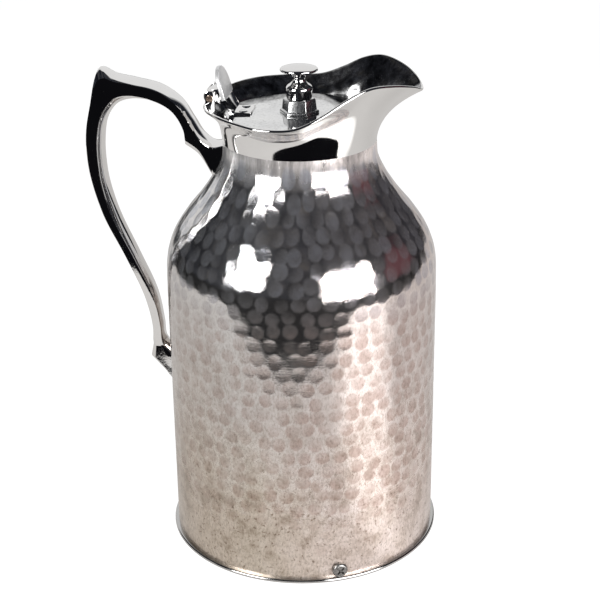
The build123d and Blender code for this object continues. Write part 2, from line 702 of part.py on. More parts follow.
for index, angle in enumerate(SPACER_ANGLES, start=1):
    with BuildPart() as flask_spacer:
        with BuildSketch(radial_plane(angle, SPACER_Z).offset(INNER_GLASS_R - 1)) as spacer_round:
            Circle(SPACER_R)
        extrude(amount=FLASK_R - INNER_GLASS_R)
        with BuildSketch(Plane.XY.offset(SPACER_Z - SPACER_R)) as gap_ring:
            Circle(FLASK_R - FLASK_WALL)
            Circle(INNER_GLASS_R, mode=Mode.SUBTRACT)
        extrude(amount=2 * SPACER_R, mode=Mode.INTERSECT)
    flask_spacer.part.label = f"flask_spacer_{index}"
    export_step(flask_spacer.part, f"parts/flask_spacer_{index}.step")

with BuildPart() as neck_gasket:
    with BuildSketch(Plane.XY.offset(LIP_Z)) as gasket_ring:
        Circle(GASKET_OUT_R)
        Circle(GASKET_IN_R, mode=Mode.SUBTRACT)
    extrude(amount=GASKET_T)
neck_gasket.part.label = "neck_gasket"
export_step(neck_gasket.part, "parts/neck_gasket.step")

# ---------------------------------------------------------------- handle
OUTER_ARM = [
    (-41.5, 201.6),
    (-46.3, 204.9),
    (-51.4, 213.1),
    (-57.5, 221.8),
    (-67.2, 228.2),
    (-79.0, 230.9),
    (-88.5, 233.2),
    (-94.6, 236.8),
]
OUTER_GRIP = [
    (-95.6, 235.6),
    (-99.4, 222.0),
    (-102.6, 208.0),
    (-103.2, 196.0),
    (-102.2, 184.0),
    (-97.4, 165.0),
    (-87.5, 143.7),
    (-78.6, 121.5),
    (-75.4, 105.0),
    (-76.4, 94.0),
    (-77.6, 88.4),
]
INNER_GRIP = [
    (-66.0, 94.0),
    (-69.6, 97.5),
    (-70.6, 106.0),
    (-73.3, 122.0),
    (-82.0, 143.7),
    (-91.4, 168.0),
    (-95.2, 187.0),
    (-95.2, 203.0),
    (-91.2, 215.1),
    (-83.3, 221.6),
    (-71.8, 221.9),
    (-62.1, 218.2),
    (-55.5, 211.6),
    (-54.0, 205.0),
    (-54.8, 200.4),
]
INNER_PAD = [(-54.8, 200.4), (-48.4, 195.6), (-43.5, 188.0), (-41.5, 184.4)]
INSIDE_NECK = (-34.0, 203.0)
INSIDE_NECK_LOW = (-34.0, 184.4)
FOOT_LOW = (-66.0, 77.0)
INSIDE_WALL_LOW = (-62.0, 77.0)
INSIDE_WALL_HIGH = (-62.0, 94.0)
# Half the handle's width seen from behind, (half width, height), foot last.
HANDLE_HALF = [(7.3, 245.0), (7.3, 200.0), (6.7, 150.0), (5.4, 110.0), (5.4, 95.0), (7.2, 70.0)]
HANDLE_BLANK_HALF = 9.0
HANDLE_DEPTH = 130.0
UPPER_HOLE_END = 44.0  # how deep the screw holes go into the casting, from the axis
LOWER_HOLE_END = 71.5


def shell_solid(wall):
    """The jug's outside (wall 0) or inside as one solid, to fit other pieces to it."""
    side = shifted(SHOULDER, wall)
    with BuildPart() as filled:
        with BuildSketch(Plane.XZ):
            with BuildLine():
                Line((side[0][0], FLANGE_T), side[0])
                Spline(*side, tangents=[(0, 1), (0, 1)])
                Line(side[-1], (0, SEAM_Z))
                Line((0, SEAM_Z), (0, FLANGE_T))
                Line((0, FLANGE_T), (side[0][0], FLANGE_T))
            make_face()
        revolve(axis=Axis.Z)
    return filled.part


def side_edges(part, lowest, highest):
    """The long edges of the handle's flanks, chosen by their length."""
    flank = part.edges().filter_by(lambda edge: abs(edge.center().Y) > HANDLE_HALF[3][0] - 1)
    return flank.filter_by(lambda edge: lowest < edge.length < highest)


with BuildPart() as handle:
    with BuildSketch(Plane.XZ) as handle_side:
        with BuildLine() as handle_outline:
            Line(INSIDE_NECK, OUTER_ARM[0])
            Spline(*OUTER_ARM)
            Line(OUTER_ARM[-1], OUTER_GRIP[0])
            Spline(*OUTER_GRIP)
            Line(OUTER_GRIP[-1], FOOT_LOW)
            Line(FOOT_LOW, INSIDE_WALL_LOW)
            Line(INSIDE_WALL_LOW, INSIDE_WALL_HIGH)
            Line(INSIDE_WALL_HIGH, INNER_GRIP[0])
            Spline(*INNER_GRIP)
            Spline(*INNER_PAD)
            Line(INNER_PAD[-1], INSIDE_NECK_LOW)
            Line(INSIDE_NECK_LOW, INSIDE_NECK)
        make_face()
    extrude(amount=HANDLE_BLANK_HALF, both=True)
    with BuildSketch(Plane.YZ) as handle_front:
        with BuildLine() as front_outline:
            Spline(*HANDLE_HALF)
            Line(HANDLE_HALF[-1], (-HANDLE_HALF[-1][0], HANDLE_HALF[-1][1]))
            Spline(*[(-half, z) for half, z in reversed(HANDLE_HALF)])
            Line((-HANDLE_HALF[0][0], HANDLE_HALF[0][1]), HANDLE_HALF[0])
        make_face()
    extrude(amount=-HANDLE_DEPTH, mode=Mode.INTERSECT)
    fillet(side_edges(handle.part, 175, 190), radius=HANDLE_ROUND)
    fillet(side_edges(handle.part, 145, 160), radius=HANDLE_ROUND)
    add(shell_solid(0.0), mode=Mode.SUBTRACT)
    for height, depth in ((UPPER_SCREW_Z, UPPER_HOLE_END), (LOWER_SCREW_Z, LOWER_HOLE_END)):
        with BuildSketch(radial_plane(180, height)) as screw_hole:
            Circle(HANDLE_SCREW_R)
        extrude(amount=depth, mode=Mode.SUBTRACT)
handle.part.label = "handle"
export_step(handle.part, "parts/handle.step")

# ---------------------------------------------------------------- screws that hold the handle from inside
WASHER_R = 3.6
HANDLE_HEAD_R = 3.2
HANDLE_HEAD_T = 2.0
TIP_GAP = 0.2
UPPER_SEAT = 35.6  # where the screw heads bear on their washers
LOWER_SEAT = 62.5
WASHER_BLANK = 8.0
for name, height, seat, tip in (
    ("upper", UPPER_SCREW_Z, UPPER_SEAT, UPPER_HOLE_END - TIP_GAP),
    ("lower", LOWER_SCREW_Z, LOWER_SEAT, LOWER_HOLE_END - TIP_GAP),
):
    with BuildPart() as handle_washer:
        with BuildSketch(radial_plane(180, height).offset(seat)) as washer_ring:
            Circle(WASHER_R)
            Circle(HANDLE_SCREW_R, mode=Mode.SUBTRACT)
        extrude(amount=WASHER_BLANK)
        add(shell_solid(SHELL_WALL), mode=Mode.INTERSECT)
    handle_washer.part.label = f"handle_washer_{name}"
    export_step(handle_washer.part, f"parts/handle_washer_{name}.step")

    with BuildPart() as handle_screw:
        with BuildSketch(radial_plane(180, height).offset(seat)) as screw_shank:
            Circle(HANDLE_SCREW_R)
        extrude(amount=tip - seat)
        with BuildSketch(radial_plane(180, height).offset(seat)) as screw_head:
            Circle(HANDLE_HEAD_R)
        extrude(amount=-HANDLE_HEAD_T)
    handle_screw.part.label = f"handle_screw_{name}"
    export_step(handle_screw.part, f"parts/handle_screw_{name}.step")
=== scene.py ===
"""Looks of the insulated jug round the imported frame: hammered shell, polished collar, handle and lid.

Meshes are written in millimetres and placed in metres, in the frame's own axes: x towards the spout, z up.
"""

import bpy
import bmesh
import json
import math
import numpy as np
from mathutils import Matrix, Vector


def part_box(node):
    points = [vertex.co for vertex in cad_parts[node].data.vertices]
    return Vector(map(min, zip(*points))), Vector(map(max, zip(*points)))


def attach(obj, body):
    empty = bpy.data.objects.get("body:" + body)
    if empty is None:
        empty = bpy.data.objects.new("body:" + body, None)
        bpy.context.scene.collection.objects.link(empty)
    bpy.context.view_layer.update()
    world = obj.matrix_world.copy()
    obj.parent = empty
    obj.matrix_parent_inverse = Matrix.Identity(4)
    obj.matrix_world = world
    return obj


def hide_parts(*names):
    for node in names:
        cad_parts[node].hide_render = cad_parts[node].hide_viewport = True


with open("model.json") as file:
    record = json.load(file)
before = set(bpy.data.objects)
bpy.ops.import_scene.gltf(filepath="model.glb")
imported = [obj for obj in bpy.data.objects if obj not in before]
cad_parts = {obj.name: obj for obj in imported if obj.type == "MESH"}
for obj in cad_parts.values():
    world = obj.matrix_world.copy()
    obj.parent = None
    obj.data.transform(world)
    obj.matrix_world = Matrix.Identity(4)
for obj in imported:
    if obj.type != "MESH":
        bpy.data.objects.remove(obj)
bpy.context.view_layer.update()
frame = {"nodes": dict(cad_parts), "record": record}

MM = 0.001


# ------------------------ sizes from the frame, in millimetres
def in_mm(length):
    """A length of the frame in millimetres, to the tenth that the parts are made to."""
    return round(length / MM, 1)


shell_low, shell_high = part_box("body_shell")
BODY_R = in_mm(shell_high.y)
WALL_BOTTOM = in_mm(shell_low.z)
SEAM_Z = in_mm(shell_high.z)

collar_low, collar_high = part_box("collar")
SPIGOT_BOTTOM = in_mm(collar_low.z)

pin_low, pin_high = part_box("hinge_pin")
PIN_X = in_mm((pin_low.x + pin_high.x) / 2)
PIN_Z = in_mm((pin_low.z + pin_high.z) / 2)

lid_low, lid_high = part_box("lid_plate")
LID_R = in_mm(lid_high.x)
LID_BOTTOM = in_mm(lid_low.z)
LID_TOP = in_mm(lid_high.z)

nut_low, nut_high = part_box("gland_nut")
NUT_FLANGE_R = in_mm(nut_high.x)
NUT_TOP = in_mm(nut_high.z)

rivet_low, rivet_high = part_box("lever_rivet_near")
RIVET_X = in_mm((rivet_low.x + rivet_high.x) / 2)
RIVET_Y = -in_mm((rivet_low.y + rivet_high.y) / 2)
RIVET_BOTTOM = in_mm(rivet_low.z)
RIVET_TOP = in_mm(rivet_high.z)

lever_low, lever_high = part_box("thumb_lever")
THUMB_HALF = in_mm(lever_high.y)
THUMB_TOP_Z = in_mm(lever_high.z)
LEVER_END_X = in_mm(lever_high.x)

cap_low, cap_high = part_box("base_cap")
BASE_RIM_R = in_mm(cap_high.x)
CAP_TOP = in_mm(cap_high.z)


# ------------------------ camera
def make_camera():
    """The camera stands in front, a little towards the spout, and looks down on the jug."""
    data = bpy.data.cameras.new("camera")
    data.sensor_width = 36.0
    data.lens = 88.26
    camera = bpy.data.objects.new("camera", data)
    bpy.context.scene.collection.objects.link(camera)
    heading = math.radians(8.08)
    look_down = math.radians(23.16)
    roll = math.radians(-0.79)
    stand = Matrix.Translation((0.0933, -0.6640, 0.4078))
    turn = Matrix.Rotation(heading, 4, "Z") @ Matrix.Rotation(math.radians(90) - look_down, 4, "X")
    camera.matrix_world = stand @ turn @ Matrix.Rotation(roll, 4, "Z")
    bpy.context.scene.camera = camera


# ------------------------ node helpers
def new_material(name):
    material = bpy.data.materials.new(name)
    material.use_nodes = True
    tree = material.node_tree
    tree.nodes.clear()
    output = tree.nodes.new("ShaderNodeOutputMaterial")
    shader = tree.nodes.new("ShaderNodeBsdfPrincipled")
    tree.links.new(shader.outputs["BSDF"], output.inputs["Surface"])
    return material, tree, shader


def add(tree, kind, **values):
    """A node with its settings and input values."""
    node = tree.nodes.new(kind)
    for key, value in values.items():
        if hasattr(node, key):
            setattr(node, key, value)
        else:
            node.inputs[key.replace("_", " ")].default_value = value
    return node


def coords(tree):
    return tree.nodes.new("ShaderNodeTexCoord").outputs["Object"]


def split_xyz(tree, vector):
    node = tree.nodes.new("ShaderNodeSeparateXYZ")
    tree.links.new(vector, node.inputs["Vector"])
    return node.outputs


def attribute(tree, name):
    return add(tree, "ShaderNodeAttribute", attribute_name=name).outputs["Fac"]


def noise(tree, vector, scale, detail=4.0, roughness=0.55, distortion=0.0):
    node = add(
        tree, "ShaderNodeTexNoise", Scale=scale, Detail=detail, Roughness=roughness, Distortion=distortion
    )
    tree.links.new(vector, node.inputs["Vector"])
    return node.outputs["Fac"]


def stretch(tree, vector, scale):
    node = tree.nodes.new("ShaderNodeMapping")
    node.inputs["Scale"].default_value = scale
    tree.links.new(vector, node.inputs["Vector"])
    return node.outputs["Vector"]


def ramp(tree, value, stops):
    """Colours between stops of (value, colour)."""
    node = tree.nodes.new("ShaderNodeValToRGB")
    while len(node.color_ramp.elements) < len(stops):
        node.color_ramp.elements.new(0.5)
    for element, (position, colour) in zip(node.color_ramp.elements, stops):
        element.position = position
        element.color = (*colour, 1.0)
    tree.links.new(value, node.inputs["Fac"])
    return node.outputs["Color"]


def grey(level):
    return (level, level, level)


def math_node(tree, operation, first, second=None, third=None):
    node = tree.nodes.new("ShaderNodeMath")
    node.operation = operation
    for socket, value in zip(node.inputs, (first, second, third)):
        if value is None:
            continue
        if isinstance(value, (int, float)):
            socket.default_value = value
        else:
            tree.links.new(value, socket)
    return node.outputs[0]


def times(tree, first, second):
    return math_node(tree, "MULTIPLY", first, second)


def times_plus(tree, value, factor, extra):
    """value times factor, plus extra."""
    return math_node(tree, "MULTIPLY_ADD", value, factor, extra)


def remap(tree, value, low, high, to_low, to_high):
    """The range from low to high becomes the range from to_low to to_high, and stops at both ends."""
    node = add(tree, "ShaderNodeMapRange", From_Min=low, From_Max=high, To_Min=to_low, To_Max=to_high)
    tree.links.new(value, node.inputs["Value"])
    return node.outputs["Result"]


def mix_colour(tree, factor, first, second, blend="MIX"):
    node = tree.nodes.new("ShaderNodeMix")
    node.data_type = "RGBA"
    node.blend_type = blend
    first_colour, second_colour, mixed = node.inputs[6], node.inputs[7], node.outputs[2]
    for socket, value in zip((node.inputs["Factor"], first_colour, second_colour), (factor, first, second)):
        if isinstance(value, (int, float)):
            socket.default_value = value
        elif isinstance(value, tuple):
            socket.default_value = (*value, 1.0)
        else:
            tree.links.new(value, socket)
    return mixed


def bump(tree, height, strength, distance, under=None):
    """The normal of a relief, on top of the relief under it."""
    node = add(tree, "ShaderNodeBump", Strength=strength, Distance=distance)
    tree.links.new(height, node.inputs["Height"])
    if under is not None:
        tree.links.new(under, node.inputs["Normal"])
    return node.outputs["Normal"]


def connect(tree, shader, colour, rough, relief):
    tree.links.new(colour, shader.inputs["Base Color"])
    tree.links.new(rough, shader.inputs["Roughness"])
    tree.links.new(relief, shader.inputs["Normal"])


# ------------------------ materials
def chrome_material(name, colour, smear=0.05):
    """Polished plate: tight reflections with faint smears and hairline scratches."""
    material, tree, shader = new_material(name)
    point = coords(tree)
    smears = noise(tree, point, 60.0, 5.0)
    fine = noise(tree, point, 900.0, 3.0)
    shader.inputs["Metallic"].default_value = 1.0
    tint = ramp(tree, smears, [(0.3, tuple(c * 0.95 for c in colour)), (0.7, colour)])
    rough = remap(tree, smears, 0.35, 0.75, 0.03, 0.03 + smear)
    connect(tree, shader, tint, rough, bump(tree, fine, 0.04, 0.0002))
    return material


def collar_material():
    """The collar's plate: polished outside, and duller inside, where its colour is darkened as painted shade
    with a random dapple.
    """
    material, tree, shader = new_material("collar_casting")
    point = coords(tree)
    inner_wall = attribute(tree, "inner_wall")
    smears = noise(tree, point, 60.0, 5.0)
    dapple = noise(tree, point, 240.0, 5.0, 0.7)
    fine = noise(tree, point, 900.0, 3.0)
    shader.inputs["Metallic"].default_value = 1.0
    polished = ramp(tree, smears, [(0.3, (0.84, 0.83, 0.82)), (0.7, (0.88, 0.87, 0.86))])
    # Painted shade: the inside wall is coloured dark grey, dappled at random.
    painted_inner_shade = ramp(tree, dapple, [(0.40, grey(0.14)), (0.66, grey(0.62))])
    tint = mix_colour(tree, inner_wall, polished, painted_inner_shade)
    rough = times_plus(tree, inner_wall, 0.11, remap(tree, smears, 0.35, 0.75, 0.03, 0.08))
    connect(tree, shader, tint, rough, bump(tree, fine, 0.04, 0.0002))
    return material


def lid_material():
    """Plated sheet with handling marks: fine speckle over broad smears, still a clear mirror."""
    material, tree, shader = new_material("lid_sheet")
    point = coords(tree)
    smears = noise(tree, point, 90.0, 6.0, 0.65)
    speck = noise(tree, point, 700.0, 4.0, 0.7)
    rubbed = noise(tree, stretch(tree, point, (260.0, 900.0, 260.0)), 1.0, 4.0, 0.6)
    shader.inputs["Metallic"].default_value = 1.0
    tint = ramp(tree, smears, [(0.32, grey(0.74)), (0.5, grey(0.84)), (0.68, (0.90, 0.90, 0.89))])
    dots = ramp(tree, speck, [(0.36, (0.62, 0.62, 0.61)), (0.46, grey(1.0))])
    speckled = mix_colour(tree, 0.7, tint, dots, "MULTIPLY")
    rough = remap(tree, smears, 0.3, 0.7, 0.10, 0.03)
    connect(tree, shader, speckled, rough, bump(tree, rubbed, 0.10, 0.0002))
    return material


def satin_material():
    """Plate that thumbs have rubbed to a pale satin."""
    material, tree, shader = new_material("rubbed_plate")
    rub = noise(tree, coords(tree), 420.0, 5.0, 0.65)
    shader.inputs["Metallic"].default_value = 0.55
    tint = ramp(tree, rub, [(0.3, grey(0.82)), (0.7, grey(0.97))])
    rough = remap(tree, rub, 0.3, 0.7, 0.30, 0.40)
    connect(tree, shader, tint, rough, bump(tree, rub, 0.10, 0.0002))
    return material


def nut_material():
    """A turned nut whose faces are brushed upright."""
    material, tree, shader = new_material("brushed_nut")
    brushed = noise(tree, stretch(tree, coords(tree), (2600.0, 2600.0, 120.0)), 1.0, 4.0, 0.6)
    shader.inputs["Metallic"].default_value = 1.0
    tint = ramp(tree, brushed, [(0.3, grey(0.62)), (0.7, grey(0.84))])
    rough = remap(tree, brushed, 0.3, 0.7, 0.16, 0.30)
    connect(tree, shader, tint, rough, bump(tree, brushed, 0.12, 0.0002))
    return material


def simple_material(name, metallic, colour, roughness, scale=400.0, spread=0.12):
    """A plain finish with slight mottling in colour, gloss and relief."""
    material, tree, shader = new_material(name)
    mottle = noise(tree, coords(tree), scale, 4.0)
    shader.inputs["Metallic"].default_value = metallic
    dark = tuple(c * (1.0 - spread) for c in colour)
    tint = ramp(tree, mottle, [(0.35, dark), (0.65, colour)])
    rough = remap(tree, mottle, 0.3, 0.7, roughness * 0.8, roughness * 1.2)
    connect(tree, shader, tint, rough, bump(tree, mottle, 0.3, 0.0002))
    return material


def glass_material():
    """Clear flask glass with a faint ripple in its tint."""
    material, tree, shader = new_material("flask_glass")
    ripple = noise(tree, coords(tree), 40.0, 2.0)
    tint = ramp(tree, ripple, [(0.3, (0.86, 0.9, 0.9)), (0.7, (0.93, 0.96, 0.96))])
    tree.links.new(tint, shader.inputs["Base Color"])
    tree.links.new(remap(tree, ripple, 0.3, 0.7, 0.02, 0.06), shader.inputs["Roughness"])
    shader.inputs["Transmission Weight"].default_value = 0.9
    return material


def silver_colour(tree, point, parts):
    """Bright plate above, pink on the spout's side, brown and pitted near the foot, darker in each mark with
    tarnish and painted shade.
    """
    x, height, cloud, worn = parts["x"], parts["height"], parts["cloud"], parts["worn"]
    base = ramp(tree, worn, [
        (0.0, (0.79, 0.78, 0.78)),
        (0.45, (0.78, 0.75, 0.72)),
        (0.8, (0.74, 0.69, 0.63)),
        (1.0, (0.68, 0.61, 0.53)),
    ])
    base = mix_colour(tree, times(tree, parts["side"], 0.75), base, (0.86, 0.74, 0.71))

    blotch = noise(tree, point, 95.0, 7.0, 0.68)
    spots = ramp(tree, blotch, [(0.36, (0.55, 0.50, 0.44)), (0.5, (0.88, 0.86, 0.83)), (0.62, grey(1.0))])
    base = mix_colour(tree, remap(tree, worn, 0.0, 1.0, 0.22, 0.85), base, spots, "MULTIPLY")
    pits = ramp(tree, parts["speck"], [(0.34, (0.35, 0.28, 0.22)), (0.42, grey(1.0))])
    base = mix_colour(tree, remap(tree, worn, 0.25, 1.0, 0.0, 0.9), base, pits, "MULTIPLY")

    # Each hammer mark is darkened: tarnish in its hollow and painted shade across it, stronger on the spout's
    # side.
    shadowed = times(tree, parts["dish"], remap(tree, parts["side"], 0.0, 1.0, 0.85, 1.25))
    on_shoulder = remap(tree, height, 0.128, 0.15, 0.0, 1.0)
    tarnish = mix_colour(tree, on_shoulder, (0.68, 0.60, 0.57), (0.62, 0.66, 0.73))
    base = mix_colour(tree, shadowed, base, tarnish, "MULTIPLY")

    fibre = noise(tree, stretch(tree, point, (1000.0, 1000.0, 520.0)), 1.0, 6.0, 0.75)
    fibres = ramp(tree, fibre, [(0.38, (0.62, 0.59, 0.56)), (0.5, (0.90, 0.89, 0.88)), (0.60, grey(1.0))])
    base = mix_colour(tree, remap(tree, height, 0.16, 0.11, 0.35, 0.9), base, fibres, "MULTIPLY")

    from_left = remap(tree, times_plus(tree, cloud, -0.04, x), -0.01, -0.07, 0.0, 0.75)
    left = times(tree, from_left, remap(tree, height, 0.15, 0.12, 0.2, 1.0))
    return mix_colour(tree, left, base, (0.84, 0.79, 0.75), "MULTIPLY")


def silver_finish(tree, shader, point, parts):
    """How metallic, rough and scratched the plate is: hazy under the collar and dull towards the foot."""
    height, worn, dish, speck = parts["height"], parts["worn"], parts["dish"], parts["speck"]
    brushed = noise(tree, stretch(tree, point, (160.0, 160.0, 1400.0)), 1.0, 5.0, 0.7)
    streaks = noise(tree, stretch(tree, point, (300.0, 300.0, 40.0)), 1.0, 4.0, 0.6)
    under_collar = remap(tree, height, 0.190, 0.2015, 0.0, 1.0)
    seam_haze = times(tree, under_collar, remap(tree, streaks, 0.3, 0.7, 0.35, 1.2))

    clean = times_plus(tree, seam_haze, -0.45, times_plus(tree, dish, -0.11, 0.985))
    metal = math_node(tree, "SUBTRACT", clean, remap(tree, worn, 0.0, 1.0, 0.0, 0.25))
    tree.links.new(metal, shader.inputs["Metallic"])
    dull = times_plus(tree, seam_haze, 0.22, remap(tree, worn, 0.0, 1.0, 0.0, 0.24))
    rough = math_node(tree, "ADD", times_plus(tree, brushed, 0.06, 0.02), dull)
    tree.links.new(rough, shader.inputs["Roughness"])
    shader.inputs["Coat Weight"].default_value = 0.5
    shader.inputs["Coat Roughness"].default_value = 0.34

    hairline = noise(tree, stretch(tree, point, (1500.0, 1500.0, 700.0)), 1.0, 3.0, 0.6, 1.5)
    grain = bump(tree, brushed, 0.10, 0.0002)
    scratched = bump(tree, hairline, 0.16, 0.0001, grain)
    dents = bump(tree, parts["stain"], 0.07, 0.0004, scratched)
    tree.links.new(bump(tree, speck, 0.10, 0.0002, dents), shader.inputs["Normal"])


def silver_material():
    """Hammered silver plate: a clear mirror under a light haze, with brown and pitted tarnish low down."""
    material, tree, shader = new_material("hammered_silver")
    point = coords(tree)
    x, _, height = split_xyz(tree, point)
    cloud = noise(tree, point, 22.0, 6.0, 0.6)
    stain = noise(tree, point, 240.0, 5.0, 0.65)
    level = math_node(tree, "ADD", height, times_plus(tree, cloud, 0.10, -0.05))
    parts = {
        "x": x,
        "height": height,
        "cloud": cloud,
        "stain": stain,
        "speck": noise(tree, point, 520.0, 4.0, 0.7),
        "worn": remap(tree, level, 0.115, 0.035, 0.0, 1.0),
        "side": remap(tree, times_plus(tree, cloud, 0.05, x), 0.005, 0.06, 0.0, 1.0),
        "dish": times(tree, attribute(tree, "hammer_mark"), remap(tree, stain, 0.3, 0.65, 0.55, 1.15)),
    }
    tree.links.new(silver_colour(tree, point, parts), shader.inputs["Base Color"])
    silver_finish(tree, shader, point, parts)
    return material


def slot_materials():
    """One material for each of the record's material slots."""
    return {
        "silver_plate": silver_material(),
        "chrome_cast": chrome_material("polished_casting", (0.88, 0.87, 0.86)),
        "chrome_sheet": chrome_material("polished_sheet", grey(0.86), 0.12),
        "brass": simple_material("bare_brass", 1.0, (0.83, 0.62, 0.48), 0.3),
        "steel": simple_material("plain_steel", 1.0, grey(0.62), 0.3),
        "glass": glass_material(),
        "rubber": simple_material("black_rubber", 0.0, grey(0.03), 0.6),
        "cork": simple_material("cork", 0.0, (0.45, 0.30, 0.17), 0.85, 250.0, 0.4),
        "plastic": simple_material("black_plastic", 0.0, (0.03, 0.028, 0.026), 0.45),
    }


def finish_cad_nodes(materials):
    """Each CAD node gets its slot's material, and the base screws a duller steel of their own."""
    slot_of = {row["node"]: row["material_slot"] for row in frame["record"]["subparts"]}
    for name, node in frame["nodes"].items():
        material = materials[slot_of[name]]
        if name.startswith("base_screw"):
            material = simple_material("dull_" + name, 1.0, (0.34, 0.33, 0.32), 0.34, 900.0, 0.4)
        node.data.materials.clear()
        node.data.materials.append(material)


# ------------------------ mesh helpers
def link(name, mesh, material, smooth_angle):
    """An object for a finished mesh: faces turned outwards, and hard edges only where they pass the angle."""
    piece = bpy.data.objects.new(name, mesh)
    bpy.context.scene.collection.objects.link(piece)
    mesh.materials.append(material)
    work = bmesh.new()
    work.from_mesh(mesh)
    bmesh.ops.recalc_face_normals(work, faces=work.faces)
    work.to_mesh(mesh)
    work.free()
    if smooth_angle is not None:
        mesh.shade_smooth()
        mesh.set_sharp_from_angle(angle=math.radians(smooth_angle))
    return piece


def make_object(name, vertices, faces, material, smooth_angle=35.0):
    mesh = bpy.data.meshes.new(name)
    mesh.from_pydata([tuple(vertex) for vertex in vertices], [], [tuple(face) for face in faces])
    mesh.update()
    return link(name, mesh, material, smooth_angle)


def belongs(piece, body, slot, *nodes):
    """The piece rides the body and stands for the CAD nodes, which it hides. The slot is not used."""
    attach(piece, body)
    if nodes:
        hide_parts(*nodes)


def plate(name, outline, near, far, material, bevel=0.0):
    """An upright plate: an outline of (x, z) between two values of y, with all its edges bevelled."""
    work = bmesh.new()
    first = [work.verts.new((x * MM, near * MM, z * MM)) for x, z in outline]
    second = [work.verts.new((x * MM, far * MM, z * MM)) for x, z in outline]
    work.faces.new(first)
    work.faces.new(list(reversed(second)))
    for i in range(len(outline)):
        j = (i + 1) % len(outline)
        work.faces.new((first[i], second[i], second[j], first[j]))
    if bevel:
        edges = work.edges[:]
        bmesh.ops.bevel(work, geom=edges, offset=bevel * MM, segments=2, profile=0.5, affect="EDGES")
    mesh = bpy.data.meshes.new(name)
    work.to_mesh(mesh)
    work.free()
    return link(name, mesh, material, 30.0)


def soften(piece, width, segments=2):
    """Rounds the sharp edges of a piece by a width."""
    work = bmesh.new()
    work.from_mesh(piece.data)
    sharp_angle = math.radians(28)
    folds = [edge for edge in work.edges if len(edge.link_faces) == 2]
    sharp = [edge for edge in folds if edge.calc_face_angle() > sharp_angle]
    offset = width * MM
    bmesh.ops.bevel(
        work, geom=sharp, offset=offset, segments=segments, profile=0.5, affect="EDGES", clamp_overlap=True
    )
    work.to_mesh(piece.data)
    work.free()
    piece.data.shade_smooth()
    piece.data.set_sharp_from_angle(angle=math.radians(32))


def ring_faces(rings, count, close_rings=False, close_ends=False):
    """Quads between rings of the same number of vertices, listed ring after ring."""
    faces = []
    pairs = rings if close_rings else rings - 1
    for ring in range(pairs):
        here = ring * count
        there = ((ring + 1) % rings) * count
        for i in range(count):
            j = (i + 1) % count
            faces.append((here + i, here + j, there + j, there + i))
    if close_ends:
        faces.append(tuple(reversed(range(count))))
        faces.append(tuple(range((rings - 1) * count, rings * count)))
    return faces


def lathe(name, profile, material, segments=128, closed=False, centre=(0.0, 0.0), smooth_angle=35.0):
    """A profile of (radius, height) turned about an upright axis; a point at radius 0 becomes one vertex."""
    vertices = []
    rings = []
    for radius, height in profile:
        if radius == 0.0:
            rings.append([len(vertices)])
            vertices.append((centre[0] * MM, centre[1] * MM, height * MM))
            continue
        ring = []
        for step in range(segments):
            angle = 2 * math.pi * step / segments
            ring.append(len(vertices))
            x = centre[0] * MM + radius * MM * math.cos(angle)
            y = centre[1] * MM + radius * MM * math.sin(angle)
            vertices.append((x, y, height * MM))
        rings.append(ring)
    if closed:
        rings.append(rings[0])
    faces = []
    for low, high in zip(rings, rings[1:]):
        for i in range(segments):
            j = (i + 1) % segments
            if len(low) == 1:
                faces.append((low[0], high[j], high[i]))
            elif len(high) == 1:
                faces.append((low[i], low[j], high[0]))
            else:
                faces.append((low[i], low[j], high[j], high[i]))
    return make_object(name, vertices, faces, material, smooth_angle)


def bezier(p0, p1, p2, p3, count):
    """Points along a cubic curve, ends included."""
    points = []
    for step in range(count + 1):
        t = step / count
        s = 1 - t
        weights = (s * s * s, 3 * s * s * t, 3 * s * t * t, t * t * t)
        pairs = list(zip(weights, (p0, p1, p2, p3)))
        points.append(tuple(sum(weight * p[k] for weight, p in pairs) for k in range(len(p0))))
    return points


def catmull(p, t, at):
    """A point between the middle two of four points p, which the curve passes at the four values t."""
    a1 = (t[1] - at) / (t[1] - t[0]) * p[0] + (at - t[0]) / (t[1] - t[0]) * p[1]
    a2 = (t[2] - at) / (t[2] - t[1]) * p[1] + (at - t[1]) / (t[2] - t[1]) * p[2]
    a3 = (t[3] - at) / (t[3] - t[2]) * p[2] + (at - t[2]) / (t[3] - t[2]) * p[3]
    b1 = (t[2] - at) / (t[2] - t[0]) * a1 + (at - t[0]) / (t[2] - t[0]) * a2
    b2 = (t[3] - at) / (t[3] - t[1]) * a2 + (at - t[1]) / (t[3] - t[1]) * a3
    return (t[2] - at) / (t[2] - t[1]) * b1 + (at - t[1]) / (t[2] - t[1]) * b2


def smooth_path(points, corners, per_gap, last_gap=None):
    """A smooth path through points, per_gap steps a gap or last_gap in the last, with sharp corners."""
    points = np.array(points, dtype=float)
    stops = [0, *corners, len(points) - 1]
    path = []
    for first, last in zip(stops, stops[1:]):
        run = points[first : last + 1]
        if len(run) == 2:
            path.extend(run[0] + (run[1] - run[0]) * k / per_gap for k in range(per_gap))
            continue
        padded = np.concatenate([[2 * run[0] - run[1]], run, [2 * run[-1] - run[-2]]])
        gaps = np.linalg.norm(np.diff(padded, axis=0), axis=1) ** 0.5
        knots = np.concatenate([[0.0], np.cumsum(gaps)])
        for i in range(len(run) - 1):
            steps = last_gap if last_gap and i == len(run) - 2 else per_gap
            for k in range(steps):
                at = knots[i + 1] + (knots[i + 2] - knots[i + 1]) * k / steps
                path.append(catmull(padded[i : i + 4], knots[i : i + 4], at))
    path.append(points[-1])
    return np.array(path)


def lengths_along(path):
    return np.concatenate([[0.0], np.cumsum(np.linalg.norm(np.diff(path, axis=0), axis=1))])


# ------------------------ hammered shell
NECK_R = 36.5
WALL_TOP = 130.0  # where the wall starts to turn in
SHELL_T = 1.0

